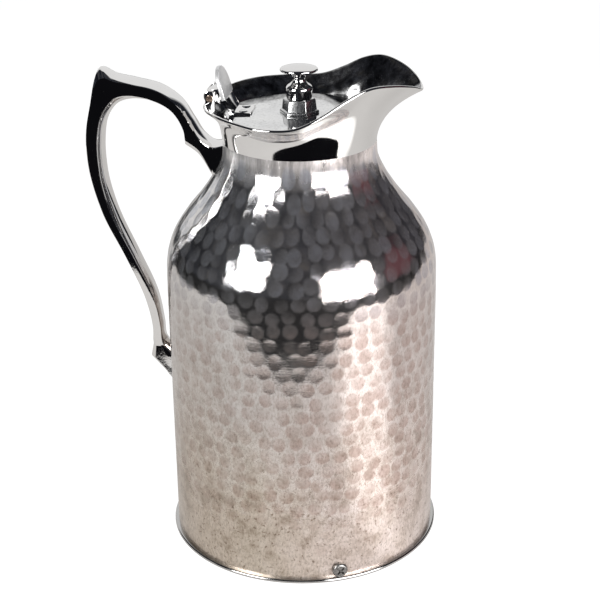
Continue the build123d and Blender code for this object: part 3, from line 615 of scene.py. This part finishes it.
# Outside of the shell above the straight wall, (radius, height).
SHOULDER = [
    (BODY_R, WALL_TOP),
    (65.2, 147.5),
    (61.9, 158.0),
    (55.6, 168.0),
    (47.3, 178.4),
    (40.7, 188.5),
    (37.2, 196.5),
    (NECK_R, SEAM_Z),
]
WALL_ROWS = 170  # mesh rows up the straight wall
SHOULDER_ROWS = 130
STEPS_PER_GAP = 24  # fine points between two of the shoulder's
SHELL_COLUMNS = 560
LINING_STRIDE = 6  # the plain inside has every sixth row of the outside

MARK_SPACING = 8.3  # between hammer marks in a row on the straight wall
MARK_ROW = 7.1  # from one row of marks to the next
MARK_RADIUS = 3.7
MARK_DEPTH = 0.085
LOWEST_MARKS = 17.0  # length along the shell from its foot
BARE_BELOW_SEAM = 4.0
MARKS_FADE_IN = 26.0  # worn shallow over this length above the lowest row
NECK_NARROWING = 24.0  # the marks are fully narrow where the shell is this much thinner than the body


def shell_outline():
    """The shell's outside from the base to the seam: radius, height and length along it."""
    rise = np.linspace(WALL_BOTTOM, WALL_TOP, WALL_ROWS, endpoint=False)
    wall = np.stack([np.full(WALL_ROWS, BODY_R), rise], axis=1)
    fine = smooth_path(SHOULDER, (), STEPS_PER_GAP, STEPS_PER_GAP - 1)
    along = lengths_along(fine)
    even = np.linspace(0.0, along[-1], SHOULDER_ROWS)
    shoulder = np.stack([np.interp(even, along, fine[:, k]) for k in range(2)], axis=1)
    outline = np.concatenate([wall, shoulder])
    return outline, lengths_along(outline)


def hammer_marks(outline, along, angles):
    """Depth of the hammer marks on the grid, and how much each place is tinted by one: 0 on a ridge. The tint
    is tarnish in the hollow with painted shade across it.
    """
    rng = np.random.default_rng(12)
    depth = np.zeros((len(along), len(angles)))
    inside = np.zeros_like(depth)
    full_turn = 2 * np.pi
    row_at = LOWEST_MARKS
    while row_at < along[-1] - BARE_BELOW_SEAM:
        radius = np.interp(row_at, along, outline[:, 0])
        neck = np.clip((BODY_R - radius) / NECK_NARROWING, 0.0, 1.0)
        count = int(round(full_turn * radius / (MARK_SPACING - 1.9 * neck)))
        start = rng.uniform(0.0, full_turn)
        fade = np.clip((row_at - LOWEST_MARKS) / MARKS_FADE_IN, 0.25, 1.0)
        for k in range(count):
            middle_angle = start + full_turn * (k + rng.uniform(-0.16, 0.16)) / count
            middle_along = row_at + rng.uniform(-1.1, 1.1) * (1.0 + 0.8 * neck)
            across_r = MARK_RADIUS * rng.uniform(0.88, 1.10) * (1.0 - 0.14 * neck)
            along_r = MARK_RADIUS * rng.uniform(0.90, 1.10) * (1.0 + 0.55 * neck)
            sink = MARK_DEPTH * rng.uniform(0.65, 1.35) * fade * (1.0 + 0.5 * neck)
            shade = rng.uniform(0.3, 1.0)
            lit_side = rng.uniform(-0.5, 0.5)
            rows = np.nonzero(np.abs(along - middle_along) < along_r)[0]
            turn = (angles - middle_angle + np.pi) % full_turn - np.pi
            columns = np.nonzero(np.abs(turn) * radius < across_r)[0]
            x = (turn[columns] * radius / across_r)[None, :]
            y = ((along[rows] - middle_along) / along_r)[:, None]
            bowl = 1.0 - x**2 - y**2
            block = np.ix_(rows, columns)
            depth[block] = np.maximum(depth[block], sink * np.clip(bowl, 0.0, 1.0))
            # Painted shade in each mark: a random tone, darker towards its lower end and towards a random
            # side.
            tint = np.clip(bowl * 3.6, 0.0, 1.0) * (shade - 0.35 * y + lit_side * x)
            inside[block] = np.maximum(inside[block], np.clip(tint, 0.0, 1.0) * fade)
        row_at += MARK_ROW * (1.0 + 0.35 * neck)
    return depth, inside


def around_axis(radius, height, angles):
    """Vertices in metres, row by row, for radii and heights of shape (rows, 1) or (rows, angles)."""
    x = radius * MM * np.cos(angles)
    y = radius * MM * np.sin(angles)
    z = np.broadcast_to(height * MM, x.shape)
    return np.stack([x, y, z], axis=2).reshape(-1, 3)


def make_shell(material):
    outline, along = shell_outline()
    angles = 2 * np.pi * np.arange(SHELL_COLUMNS) / SHELL_COLUMNS
    slope = np.gradient(outline, axis=0)
    slope /= np.linalg.norm(slope, axis=1)[:, None]
    normal = np.stack([slope[:, 1], -slope[:, 0]], axis=1)
    depth, inside = hammer_marks(outline, along, angles)
    radius = outline[:, :1] - normal[:, :1] * depth
    height = outline[:, 1:] - normal[:, 1:] * depth
    outside = around_axis(radius, height, angles)

    inner = outline - normal * SHELL_T
    inner[0, 1] = outline[0, 1]
    inner[-1, 1] = outline[-1, 1]
    rows = len(outline)
    pick = [*range(rows - 1, 0, -LINING_STRIDE), 0]
    lining = around_axis(inner[pick, :1], inner[pick, 1:], angles)

    vertices = np.concatenate([outside, lining])
    faces = ring_faces(rows + len(pick), SHELL_COLUMNS, close_rings=True)
    piece = make_object("hammered_shell", vertices, faces, material, 60.0)
    tints = np.concatenate([inside.ravel(), np.zeros(len(lining))]).astype(np.float32)
    piece.data.attributes.new("hammer_mark", "FLOAT", "POINT").data.foreach_set("value", tints)
    belongs(piece, "jug", "silver_plate", "body_shell")


# ------------------------ spout collar
# Rim of the collar from the spout (0 degrees) to the hinge (180 degrees): angle, radius, height,
# slope of the flare at the rim, how far up the wall the flare starts (share of the rise),
# length of the flare, and lean of the wall where it leaves the seam.
RIM = [
    (0.0, 57.5, 229.0, 26.0, 0.50, 11.0, 4.0),
    (12.0, 55.0, 232.4, 34.0, 0.50, 11.0, 5.0),
    (26.0, 51.4, 235.5, 50.0, 0.50, 11.0, 9.0),
    (42.0, 48.6, 236.5, 62.0, 0.50, 11.0, 13.0),
    (57.0, 48.5, 232.9, 56.0, 0.74, 14.2, 0.0),
    (70.0, 48.6, 227.2, 42.0, 0.82, 15.4, 0.0),
    (84.0, 49.6, 222.2, 30.0, 0.75, 14.2, 3.5),
    (100.0, 50.2, 221.2, 27.0, 0.70, 13.2, 8.0),
    (120.0, 48.0, 221.8, 31.0, 0.60, 12.0, 11.0),
    (140.0, 46.0, 221.8, 35.0, 0.60, 10.5, 12.0),
    (160.0, 44.9, 220.8, 39.0, 0.60, 10.0, 10.0),
    (180.0, 44.6, 220.3, 40.0, 0.60, 10.0, 9.0),
]
COLLAR_WALL = 1.6
COLLAR_COLUMNS = 300
COLLAR_STEPS = 26  # up the outside of a slice, and again down its inside
LIP_STEPS = 7  # round the lip
LIP_BULGE = 0.8
LEDGE_R = 27.0
LEDGE_BOTTOM = 206.0
LEDGE_TOP = 208.0
LEDGE_ROUND = 0.3
SPIGOT_R = 35.4
SPIGOT_WALL = 1.6
NOTCH_Z = 220.9  # the rim is cut down to this between the ears
LUG_GAP = 13.0  # between the two hinge ears
LUG_T = 2.5
LUG_HALF_X = 2.2
LUG_RISE = 3.5  # above the pin
LUG_CORNER = 1.2
LUG_REAR_Z = 219.0  # where the ears grow out of the flare
LUG_FRONT_Z = 216.0


def rim_at(angles):
    """The rim table's columns at any angle in degrees, smooth, and the same on both sides of the jug."""
    table = np.array(RIM)
    mirrored = table[1:-1][::-1].copy()
    mirrored[:, 0] = 360.0 - mirrored[:, 0]
    full = np.concatenate([table, mirrored])
    turn = np.array([360.0] + [0.0] * (table.shape[1] - 1))
    full = np.concatenate([full - turn, full, full + turn])
    known = full[:, 0]
    index = np.clip(np.searchsorted(known, angles, side="right") - 1, 0, len(known) - 2)
    gap = known[index + 1] - known[index]
    t = (angles - known[index]) / gap
    from_value = 2 * t**3 - 3 * t**2 + 1
    from_tangent = t**3 - 2 * t**2 + t
    to_value = -2 * t**3 + 3 * t**2
    to_tangent = t**3 - t**2
    at_tip = np.isclose(known % 360.0, 0.0)
    columns = []
    for column in range(1, table.shape[1]):
        value = full[:, column]
        tangent = np.gradient(value, known)
        tangent[at_tip] = 0.0
        start = from_value * value[index] + from_tangent * gap * tangent[index]
        columns.append(start + to_value * value[index + 1] + to_tangent * gap * tangent[index + 1])
    return np.stack(columns, axis=1)


def collar_slice(rim_r, rim_z, slope, flare_start, flare, lean):
    """The collar's wall at one angle: outside up to the rim, round it, down the inside, ledge and spigot."""
    slope_r = math.cos(math.radians(slope))
    slope_z = math.sin(math.radians(slope))
    knee_z = SEAM_Z + flare_start * (rim_z - SEAM_Z)
    knee_out = math.tan(math.radians(lean)) * (knee_z - SEAM_Z)
    wall_r = -COLLAR_WALL * slope_z
    wall_z = COLLAR_WALL * slope_r
    back_r = rim_r - flare * slope_r
    back_z = rim_z - flare * slope_z
    outside = bezier(
        (NECK_R, SEAM_Z), (NECK_R + knee_out, knee_z), (back_r, back_z), (rim_r, rim_z), COLLAR_STEPS
    )
    lip = []
    for step in range(1, LIP_STEPS):
        turn = math.pi * step / LIP_STEPS
        across = (1 - math.cos(turn)) / 2
        bulge = LIP_BULGE * math.sin(turn)
        lip.append((rim_r + wall_r * across + bulge * slope_r, rim_z + wall_z * across + bulge * slope_z))
    inner_r = NECK_R - COLLAR_WALL
    inside = bezier(
        (rim_r + wall_r, rim_z + wall_z),
        (back_r + wall_r, back_z + wall_z),
        (inner_r + knee_out, knee_z),
        (inner_r, LEDGE_TOP),
        COLLAR_STEPS,
    )
    ledge = [
        (LEDGE_R + LEDGE_ROUND, LEDGE_TOP),
        (LEDGE_R, LEDGE_TOP - LEDGE_ROUND),
        (LEDGE_R, LEDGE_BOTTOM),
        (SPIGOT_R - SPIGOT_WALL, LEDGE_BOTTOM),
    ]
    spigot = [(SPIGOT_R - SPIGOT_WALL, SPIGOT_BOTTOM), (SPIGOT_R, SPIGOT_BOTTOM), (SPIGOT_R, SEAM_Z)]
    return outside + lip + inside + ledge + spigot


def make_collar(material):
    angles = 360.0 * np.arange(COLLAR_COLUMNS) / COLLAR_COLUMNS
    slices = []
    for angle, rim in zip(angles, rim_at(angles)):
        radius, height = (np.array(collar_slice(*rim)) * MM).T
        turn = math.radians(angle)
        slices.append(np.stack([radius * math.cos(turn), radius * math.sin(turn), height], axis=1))
    count = len(slices[0])
    vertices = np.concatenate(slices)
    between_ears = (vertices[:, 0] < 0) & (np.abs(vertices[:, 1]) < LUG_GAP / 2 * MM)
    vertices[between_ears & (vertices[:, 2] > NOTCH_Z * MM), 2] = NOTCH_Z * MM
    faces = ring_faces(COLLAR_COLUMNS, count, close_rings=True)
    piece = make_object("spout_collar", vertices, faces, material, 40.0)
    on_inside = np.arange(count) >= COLLAR_STEPS + LIP_STEPS
    inner_wall = piece.data.attributes.new("inner_wall", "FLOAT", "POINT")
    inner_wall.data.foreach_set("value", np.tile(on_inside, COLLAR_COLUMNS).astype(float))
    belongs(piece, "jug", "chrome_cast", "collar")


def make_lugs(material):
    """The two ears at the back of the collar that hold the hinge pin."""
    rear_x = PIN_X - LUG_HALF_X
    front_x = PIN_X + LUG_HALF_X
    top_z = PIN_Z + LUG_RISE
    side = [
        (rear_x, top_z - LUG_CORNER),
        (rear_x + LUG_CORNER, top_z),
        (front_x - LUG_CORNER, top_z),
        (front_x, top_z - LUG_CORNER),
        (front_x, LUG_FRONT_Z),
        (rear_x, LUG_REAR_Z),
    ]
    for name, direction in (("hinge_lug_near", -1), ("hinge_lug_far", 1)):
        inner = direction * LUG_GAP / 2
        outer = inner + direction * LUG_T
        belongs(plate(name, side, inner, outer, material, 0.35), "jug", "chrome_cast")


# ------------------------ handle
# Pairs of points along the handle from the neck to the foot: outer x and z, inner x and z.
HANDLE = [
    (-34.0, 203.0, -34.0, 184.4),
    (-41.5, 201.6, -41.5, 184.4),
    (-46.3, 204.9, -48.4, 195.6),
    (-51.4, 213.1, -54.8, 200.4),
    (-57.5, 221.8, -54.0, 205.6),
    (-67.2, 228.2, -58.0, 215.0),
    (-79.0, 230.9, -66.0, 220.6),
    (-88.5, 233.2, -77.0, 222.4),
    (-94.6, 236.8, -85.4, 220.6),
    (-96.4, 234.6, -89.6, 217.2),
    (-99.4, 222.0, -93.4, 210.6),
    (-102.6, 208.0, -95.3, 199.0),
    (-103.2, 196.0, -95.2, 187.0),
    (-102.2, 184.0, -93.9, 177.8),
    (-97.4, 165.0, -89.4, 162.0),
    (-87.5, 143.7, -81.0, 141.4),
    (-78.6, 121.5, -73.2, 121.6),
    (-75.4, 105.0, -70.6, 106.0),
    (-75.8, 98.0, -69.6, 97.5),
    (-76.4, 94.0, -66.0, 94.0),
    (-77.6, 88.4, -62.0, 90.0),
    (-66.0, 77.0, -62.0, 82.0),
    (-62.0, 76.6, -62.0, 78.0),
]
HORN = 8  # place of the horn in the list
FOOT = 20  # place of the foot's heel
SHARP_OUTSIDE = (FOOT, 21)  # points where the outer line turns sharply
SHARP_INSIDE = (1, 3, 19, FOOT)  # neck, thorn and foot
STEPS_ALONG = 12  # between two points of the list

# Height and half the handle's width there, from the top down.
HANDLE_HALF = [(245.0, 7.3), (200.0, 7.3), (150.0, 6.7), (110.0, 5.4), (95.0, 5.4), (70.0, 7.2)]
CROWN = 0.9  # rise of the domed outer face
INNER_ROUND = 2.6  # depth of the rounded inner face
INNER_FULLNESS = 0.88  # share of a quarter round that the inner face has turned through at its edge
INNER_EDGE_DROP = 0.654  # how far the edge has dropped then, as a share of the radius
RIDGE = 1.0  # rounding between the inner face and the flank
FULL_THICKNESS = 9.0  # thinner sections have smaller roundings
EDGE_BEVEL = 0.5
HORN_BEVEL = 3.0  # extra bevel at the horn and at the heel, dying out over CORNER_REACH
FOOT_BEVEL = 1.6
CORNER_REACH = 14.0
FACE_STEPS = 8  # across half the inner or outer face
RIDGE_STEPS = 3
FLANK_STEPS = 3


def half_width(height):
    heights = [-known for known, _ in HANDLE_HALF]
    return np.interp(-height, heights, [half for _, half in HANDLE_HALF])


def handle_section(outer, inner, bevel):
    """Half of the handle's section, from the middle of its inner face round to the middle of the crown."""
    across = outer - inner
    thickness = np.linalg.norm(across)
    across /= thickness
    scale = min(1.0, thickness / FULL_THICKNESS) ** 2.2
    deep, ridge, crown = INNER_ROUND * scale, RIDGE * scale, CROWN * scale
    bevel *= scale
    half_in, half_out = half_width(inner[1]), half_width(outer[1])
    section = []
    for step in range(FACE_STEPS + 1):
        share = step / FACE_STEPS
        drop = 1.0 - math.sqrt(1.0 - INNER_FULLNESS * share**2.2)
        x, z = inner + across * deep * drop / INNER_EDGE_DROP
        section.append((x, share * (half_in - ridge), z))
    for step in range(1, RIDGE_STEPS):
        turn = math.pi / 2 * step / RIDGE_STEPS
        x, z = inner + across * (deep + ridge * (1 - math.cos(turn)))
        section.append((x, half_in - ridge * (1 - math.sin(turn)), z))
    low = inner + across * (deep + ridge)
    high = outer - across * (crown + bevel)
    for step in range(FLANK_STEPS + 1):
        x, z = low + (high - low) * step / FLANK_STEPS
        section.append((x, half_in + (half_out - half_in) * step / FLANK_STEPS, z))
    for step in range(FACE_STEPS + 1):
        share = 1.0 - step / FACE_STEPS
        x, z = outer - across * crown * share**2
        section.append((x, share * (half_out - bevel), z))
    return section


def make_handle(material):
    outer = smooth_path([row[:2] for row in HANDLE], SHARP_OUTSIDE, STEPS_ALONG)
    inner = smooth_path([row[2:] for row in HANDLE], SHARP_INSIDE, STEPS_ALONG)
    horn = outer[HORN * STEPS_ALONG]
    heel = outer[FOOT * STEPS_ALONG]
    rings = []
    for out, into in zip(outer, inner):
        near_horn = max(0.0, 1.0 - np.linalg.norm(out - horn) / CORNER_REACH)
        near_heel = max(0.0, 1.0 - np.linalg.norm(out - heel) / CORNER_REACH)
        bevel = EDGE_BEVEL + HORN_BEVEL * near_horn**1.5 + FOOT_BEVEL * near_heel
        half = handle_section(out, into, bevel)
        rings.append(half + [(x, -y, z) for x, y, z in reversed(half[1:-1])])
    vertices = np.array([point for ring in rings for point in ring]) * MM
    faces = ring_faces(len(rings), len(rings[0]), close_ends=True)
    piece = make_object("cast_handle", vertices, faces, material, 24.0)
    belongs(piece, "jug", "chrome_cast", "handle")


# ------------------------ lid
LID_HOLE_R = 5.05
LID_SEGMENTS = 160
NUT_BORE_R = 3.0
NUT_INSIDE_R = 5.9
RIVET_R = 1.3
RIVET_HEAD_R = 2.1
LEVER_FOOT_T = 1.0  # foot of the thumb lever, which the rivets hold on the lid


def make_lid(materials):
    """The lid plate with its rolled edge, the hexagon nut of the gland, and the lever's two rivets."""
    disc = lathe("lid_disc", [
        (LID_HOLE_R, LID_BOTTOM),
        (LID_HOLE_R, LID_TOP),
        (LID_R - 2.0, LID_TOP),
        (LID_R - 1.0, 216.95),
        (LID_R - 0.4, 216.8),
        (LID_R - 0.1, 216.5),
        (LID_R, 216.1),
        (LID_R - 0.1, 215.8),
        (LID_R - 0.4, 215.55),
        (LID_R - 0.8, LID_BOTTOM),
    ], materials["lid"], LID_SEGMENTS, closed=True, smooth_angle=50.0)
    belongs(disc, "lid", "chrome_sheet", "lid_plate")

    nut = lathe("gland_hexagon", [
        (NUT_FLANGE_R, LID_TOP),
        (NUT_FLANGE_R, 218.1),
        (9.0, 218.5),
        (8.35, 218.6),
        (7.8, 223.3),
        (7.3, NUT_TOP),
        (NUT_BORE_R, NUT_TOP),
        (NUT_BORE_R, NUT_TOP - 2.0),
        (NUT_INSIDE_R, NUT_TOP - 2.0),
        (NUT_INSIDE_R, LID_TOP),
    ], materials["nut"], 6, closed=True)
    soften(nut, 0.28)
    belongs(nut, "lid", "chrome_cast", "gland_nut")

    for name, side in (("near", -1), ("far", 1)):
        head = lathe("rivet_" + name, [
            (0.0, RIVET_BOTTOM),
            (RIVET_HEAD_R, RIVET_BOTTOM),
            (RIVET_HEAD_R, LID_BOTTOM),
            (RIVET_R, LID_BOTTOM),
            (RIVET_R, LID_TOP + LEVER_FOOT_T),
            (2.05, LID_TOP + LEVER_FOOT_T),
            (1.9, 218.25),
            (1.4, 218.48),
            (0.7, 218.58),
            (0.0, RIVET_TOP),
        ], materials["lid"], 40, centre=(RIVET_X, side * RIVET_Y))
        belongs(head, "lid", "chrome_sheet", "lever_rivet_" + name)


# ------------------------ thumb lever
THUMB_BOTTOM = Vector((-33.2, 0.0, 224.6))
THUMB_TOP = Vector((-37.2, 0.0, THUMB_TOP_Z))
THUMB_SHOULDER = 7.0  # height up the plate where its top starts to round
THUMB_TAPER = 0.6  # narrower on each side at the shoulder
THUMB_ARC_STEPS = 24
LEVER_T = 2.0
STRAP_HALF = 7.3
KNUCKLE_R = 3.4
KNUCKLE_HALF = 6.2
KNUCKLE_SIDES = 56
WEB_HALF = 6.0


def thumb_outline(length):
    """Outline of the thumb plate: y and length up the plate, straight at the foot and round at the top."""
    arc_half = THUMB_HALF - THUMB_TAPER
    rise = length - THUMB_SHOULDER
    radius = (arc_half**2 + rise**2) / (2 * rise)
    start = math.asin(arc_half / radius)
    outline = [(-THUMB_HALF, 0.0), (THUMB_HALF, 0.0)]
    for step in range(THUMB_ARC_STEPS + 1):
        turn = start * (1 - 2 * step / THUMB_ARC_STEPS)
        outline.append((radius * math.sin(turn), length - radius + radius * math.cos(turn)))
    return outline


def make_thumb_plate(material):
    up = THUMB_TOP - THUMB_BOTTOM
    length = up.length
    up.normalize()
    front = Vector((up.z, 0.0, -up.x))
    outline = thumb_outline(length)
    vertices = []
    for depth in (0.0, -LEVER_T):
        for y, along in outline:
            vertices.append((THUMB_BOTTOM + up * along + front * depth + Vector((0.0, y, 0.0))) * MM)
    count = len(outline)
    faces = [tuple(range(count)), tuple(range(2 * count - 1, count - 1, -1))]
    faces += [(i, (i + 1) % count, count + (i + 1) % count, count + i) for i in range(count)]
    thumb = make_object("thumb_plate", vertices, faces, material)
    soften(thumb, 0.45, 3)
    return thumb


def make_lever(material, satin):
    """The thumb lever: leaning thumb plate, strap down to the lid, and the knuckle round the hinge pin."""
    thumb = make_thumb_plate(satin)
    strap = plate("lever_strap", [
        (-33.2, 224.6),
        (-29.9, LID_TOP + LEVER_FOOT_T),
        (LEVER_END_X, LID_TOP + LEVER_FOOT_T),
        (LEVER_END_X, LID_TOP),
        (-32.0, LID_TOP),
        (-35.2, 224.0),
        (-34.2, 226.1),
    ], -STRAP_HALF, STRAP_HALF, material, 0.28)
    ring = []
    for step in range(KNUCKLE_SIDES):
        turn = math.tau * step / KNUCKLE_SIDES
        ring.append((PIN_X + KNUCKLE_R * math.cos(turn), PIN_Z + KNUCKLE_R * math.sin(turn)))
    knuckle = plate("lever_knuckle", ring, -KNUCKLE_HALF, KNUCKLE_HALF, material)
    soften(knuckle, 0.4)
    web = plate("lever_web", [
        (PIN_X, 228.3),
        (-36.0, 229.0),
        (-34.4, 224.2),
        (PIN_X, 222.6),
    ], -WEB_HALF, WEB_HALF, material, 0.3)
    belongs(thumb, "lid", "chrome_cast", "thumb_lever")
    for piece in (strap, knuckle, web):
        belongs(piece, "lid", "chrome_cast")


# ------------------------ base
SKIRT_INSIDE_R = 63.6
SKIRT_R = 64.8
BASE_FLOOR_T = 1.5


def make_base(material):
    """The base cap with its rolled rim, standing a little proud of the wall."""
    cap = lathe("base_rim", [
        (0.0, CAP_TOP - BASE_FLOOR_T),
        (SKIRT_INSIDE_R, CAP_TOP - BASE_FLOOR_T),
        (SKIRT_INSIDE_R, 0.3),
        (63.9, 0.0),
        (67.3, 0.0),
        (67.75, 0.15),
        (BASE_RIM_R, 0.5),
        (BASE_RIM_R, 1.0),
        (67.85, 1.45),
        (67.5, 1.75),
        (67.0, WALL_BOTTOM),
        (SKIRT_R, WALL_BOTTOM),
        (SKIRT_R, CAP_TOP),
        (0.0, CAP_TOP),
    ], material, 256)
    belongs(cap, "jug", "chrome_sheet", "base_cap")


# ------------------------ floor
FLOOR_HALF = 6.0  # metres, as are all the sizes from here on
TABLE_FRONT = -0.288  # where mirrors see the white table end, in front of the jug
TABLE_LEFT = -0.62
TABLE_RIGHT = 0.60


def floor_in_mirrors(tree):
    """What mirrors see of the floor: where the white table is, and its colour with a pool of light on it."""
    x, y, _ = split_xyz(tree, tree.nodes.new("ShaderNodeNewGeometry").outputs["Position"])
    front = remap(tree, y, TABLE_FRONT - 0.003, TABLE_FRONT + 0.003, 0.0, 1.0)
    right = remap(tree, times_plus(tree, y, -0.45, x), TABLE_RIGHT, TABLE_RIGHT - 0.01, 0.0, 1.0)
    left = remap(tree, x, TABLE_LEFT, TABLE_LEFT + 0.02, 0.0, 1.0)
    table = times(tree, times(tree, front, right), left)

    # The pool widens as it runs from the jug to the front right.
    along = times_plus(tree, x, 0.83, times(tree, y, -0.56))
    across = math_node(tree, "ABSOLUTE", times_plus(tree, x, 0.56, times(tree, y, 0.83)))
    width = times_plus(tree, math_node(tree, "MAXIMUM", along, 0.07), 0.42, -0.018)
    pool = remap(tree, math_node(tree, "DIVIDE", across, width), 1.5, 0.5, 0.0, 1.0)
    pool = times(tree, pool, remap(tree, along, 0.05, 0.12, 0.0, 1.0))
    white = mix_colour(tree, pool, (0.50, 0.485, 0.47), (1.35, 1.33, 1.30))
    return table, mix_colour(tree, table, (0.004, 0.004, 0.005), white)


def make_floor():
    """A pale floor. Mirrors see it end a little in front of the jug, as a table in a dim room does."""
    corners = [(-1, -1), (1, -1), (1, 1), (-1, 1)]
    vertices = [(x * FLOOR_HALF, y * FLOOR_HALF, 0.0) for x, y in corners]
    material, tree, shader = new_material("pale_floor")
    shader.inputs["Roughness"].default_value = 0.9
    shader.inputs["Specular IOR Level"].default_value = 0.0
    shader.inputs["Emission Strength"].default_value = 1.0
    seen = tree.nodes.new("ShaderNodeLightPath").outputs["Is Camera Ray"]
    table, lit = floor_in_mirrors(tree)
    tree.links.new(mix_colour(tree, seen, lit, grey(0.95)), shader.inputs["Emission Color"])
    pale = math_node(tree, "MAXIMUM", table, seen)
    tree.links.new(mix_colour(tree, pale, grey(0.0), grey(0.22)), shader.inputs["Base Color"])
    make_object("floor", vertices, [(0, 1, 2, 3)], material, None)


# ------------------------ surroundings and lights
VIEW_X, VIEW_Y = -0.141, 0.990  # level direction away from the camera


def white_wall(tree, x, y, z):
    """The white wall behind the jug: narrower with height, cut off on the right, and dark above."""
    squares = math_node(tree, "ADD", times(tree, x, x), times(tree, y, y))
    level = math_node(tree, "MAXIMUM", math_node(tree, "SQRT", squares), 0.001)
    facing = math_node(tree, "DIVIDE", times_plus(tree, x, VIEW_X, times(tree, y, VIEW_Y)), level)
    above = math_node(tree, "MAXIMUM", math_node(tree, "SUBTRACT", z, 0.30), 0.0)
    narrowed = math_node(tree, "SUBTRACT", facing, times(tree, above, 0.55))
    wall = remap(tree, narrowed, 0.62, 0.70, 0.0, 1.0)
    sideways = math_node(tree, "DIVIDE", times_plus(tree, x, VIEW_Y, times(tree, y, -VIEW_X)), level)
    wall = times(tree, wall, remap(tree, sideways, 0.52, 0.44, 0.0, 1.0))
    return times(tree, wall, remap(tree, z, 0.84, 0.74, 0.0, 1.0))


def dim_room(tree, direction, x, y, z):
    """The dark, uneven room in front of the jug, with something dull red at its right."""
    room = ramp(tree, noise(tree, direction, 4.5, 5.0, 0.6), [
        (0.38, (0.004, 0.004, 0.006)),
        (0.50, (0.016, 0.018, 0.024)),
        (0.58, (0.042, 0.045, 0.055)),
        (0.66, (0.080, 0.074, 0.064)),
    ])
    toward_red = times_plus(tree, x, 0.97, times_plus(tree, y, 0.17, times(tree, z, 0.16)))
    red = times(tree, remap(tree, toward_red, 0.935, 0.975, 0.0, 1.0), remap(tree, z, 0.0, 0.04, 0.0, 1.0))
    return mix_colour(tree, red, room, (0.105, 0.040, 0.050))


def make_world():
    """White all round for the camera. Mirrors see a white wall behind the jug and a dim room in front."""
    world = bpy.data.worlds.new("studio")
    bpy.context.scene.world = world
    world.use_nodes = True
    tree = world.node_tree
    tree.nodes.clear()
    output = tree.nodes.new("ShaderNodeOutputWorld")
    shader = tree.nodes.new("ShaderNodeBackground")
    tree.links.new(shader.outputs["Background"], output.inputs["Surface"])
    direction = tree.nodes.new("ShaderNodeTexCoord").outputs["Generated"]
    x, y, z = split_xyz(tree, direction)
    shade = mix_colour(tree, white_wall(tree, x, y, z), dim_room(tree, direction, x, y, z), grey(0.80))
    seen = tree.nodes.new("ShaderNodeLightPath").outputs["Is Camera Ray"]
    tree.links.new(mix_colour(tree, seen, shade, grey(1.0)), shader.inputs["Color"])


def add_softbox(name, stand, width, height, power):
    """A rectangular softbox that looks at the middle of the jug and isn't itself in the picture."""
    data = bpy.data.lights.new(name, "AREA")
    data.shape = "RECTANGLE"
    data.size = width
    data.size_y = height
    data.energy = power
    light = bpy.data.objects.new(name, data)
    bpy.context.scene.collection.objects.link(light)
    light.location = stand
    middle_of_jug = Vector((0.0, 0.0, 0.15))
    light.rotation_euler = (middle_of_jug - Vector(stand)).to_track_quat("-Z", "Y").to_euler()
    light.visible_camera = False


# ------------------------ everything
make_camera()
make_world()
add_softbox("softbox_left", (-0.90, -1.04, 0.76), 0.70, 0.90, 18)
add_softbox("softbox_right", (1.09, -0.98, 0.46), 1.2, 1.05, 32)
make_floor()
bpy.context.scene.view_settings.view_transform = "Standard"

materials = slot_materials()
finish_cad_nodes(materials)
make_shell(materials["silver_plate"])
make_collar(collar_material())
make_lugs(materials["chrome_cast"])
make_handle(materials["chrome_cast"])
make_lid({"lid": lid_material(), "nut": nut_material()})
make_lever(materials["chrome_cast"], satin_material())
# The base rim's plate is tinted darker than the other chrome, as painted shade where it meets the floor.
make_base(chrome_material("base_plating_painted_shade", (0.58, 0.57, 0.56), 0.25))
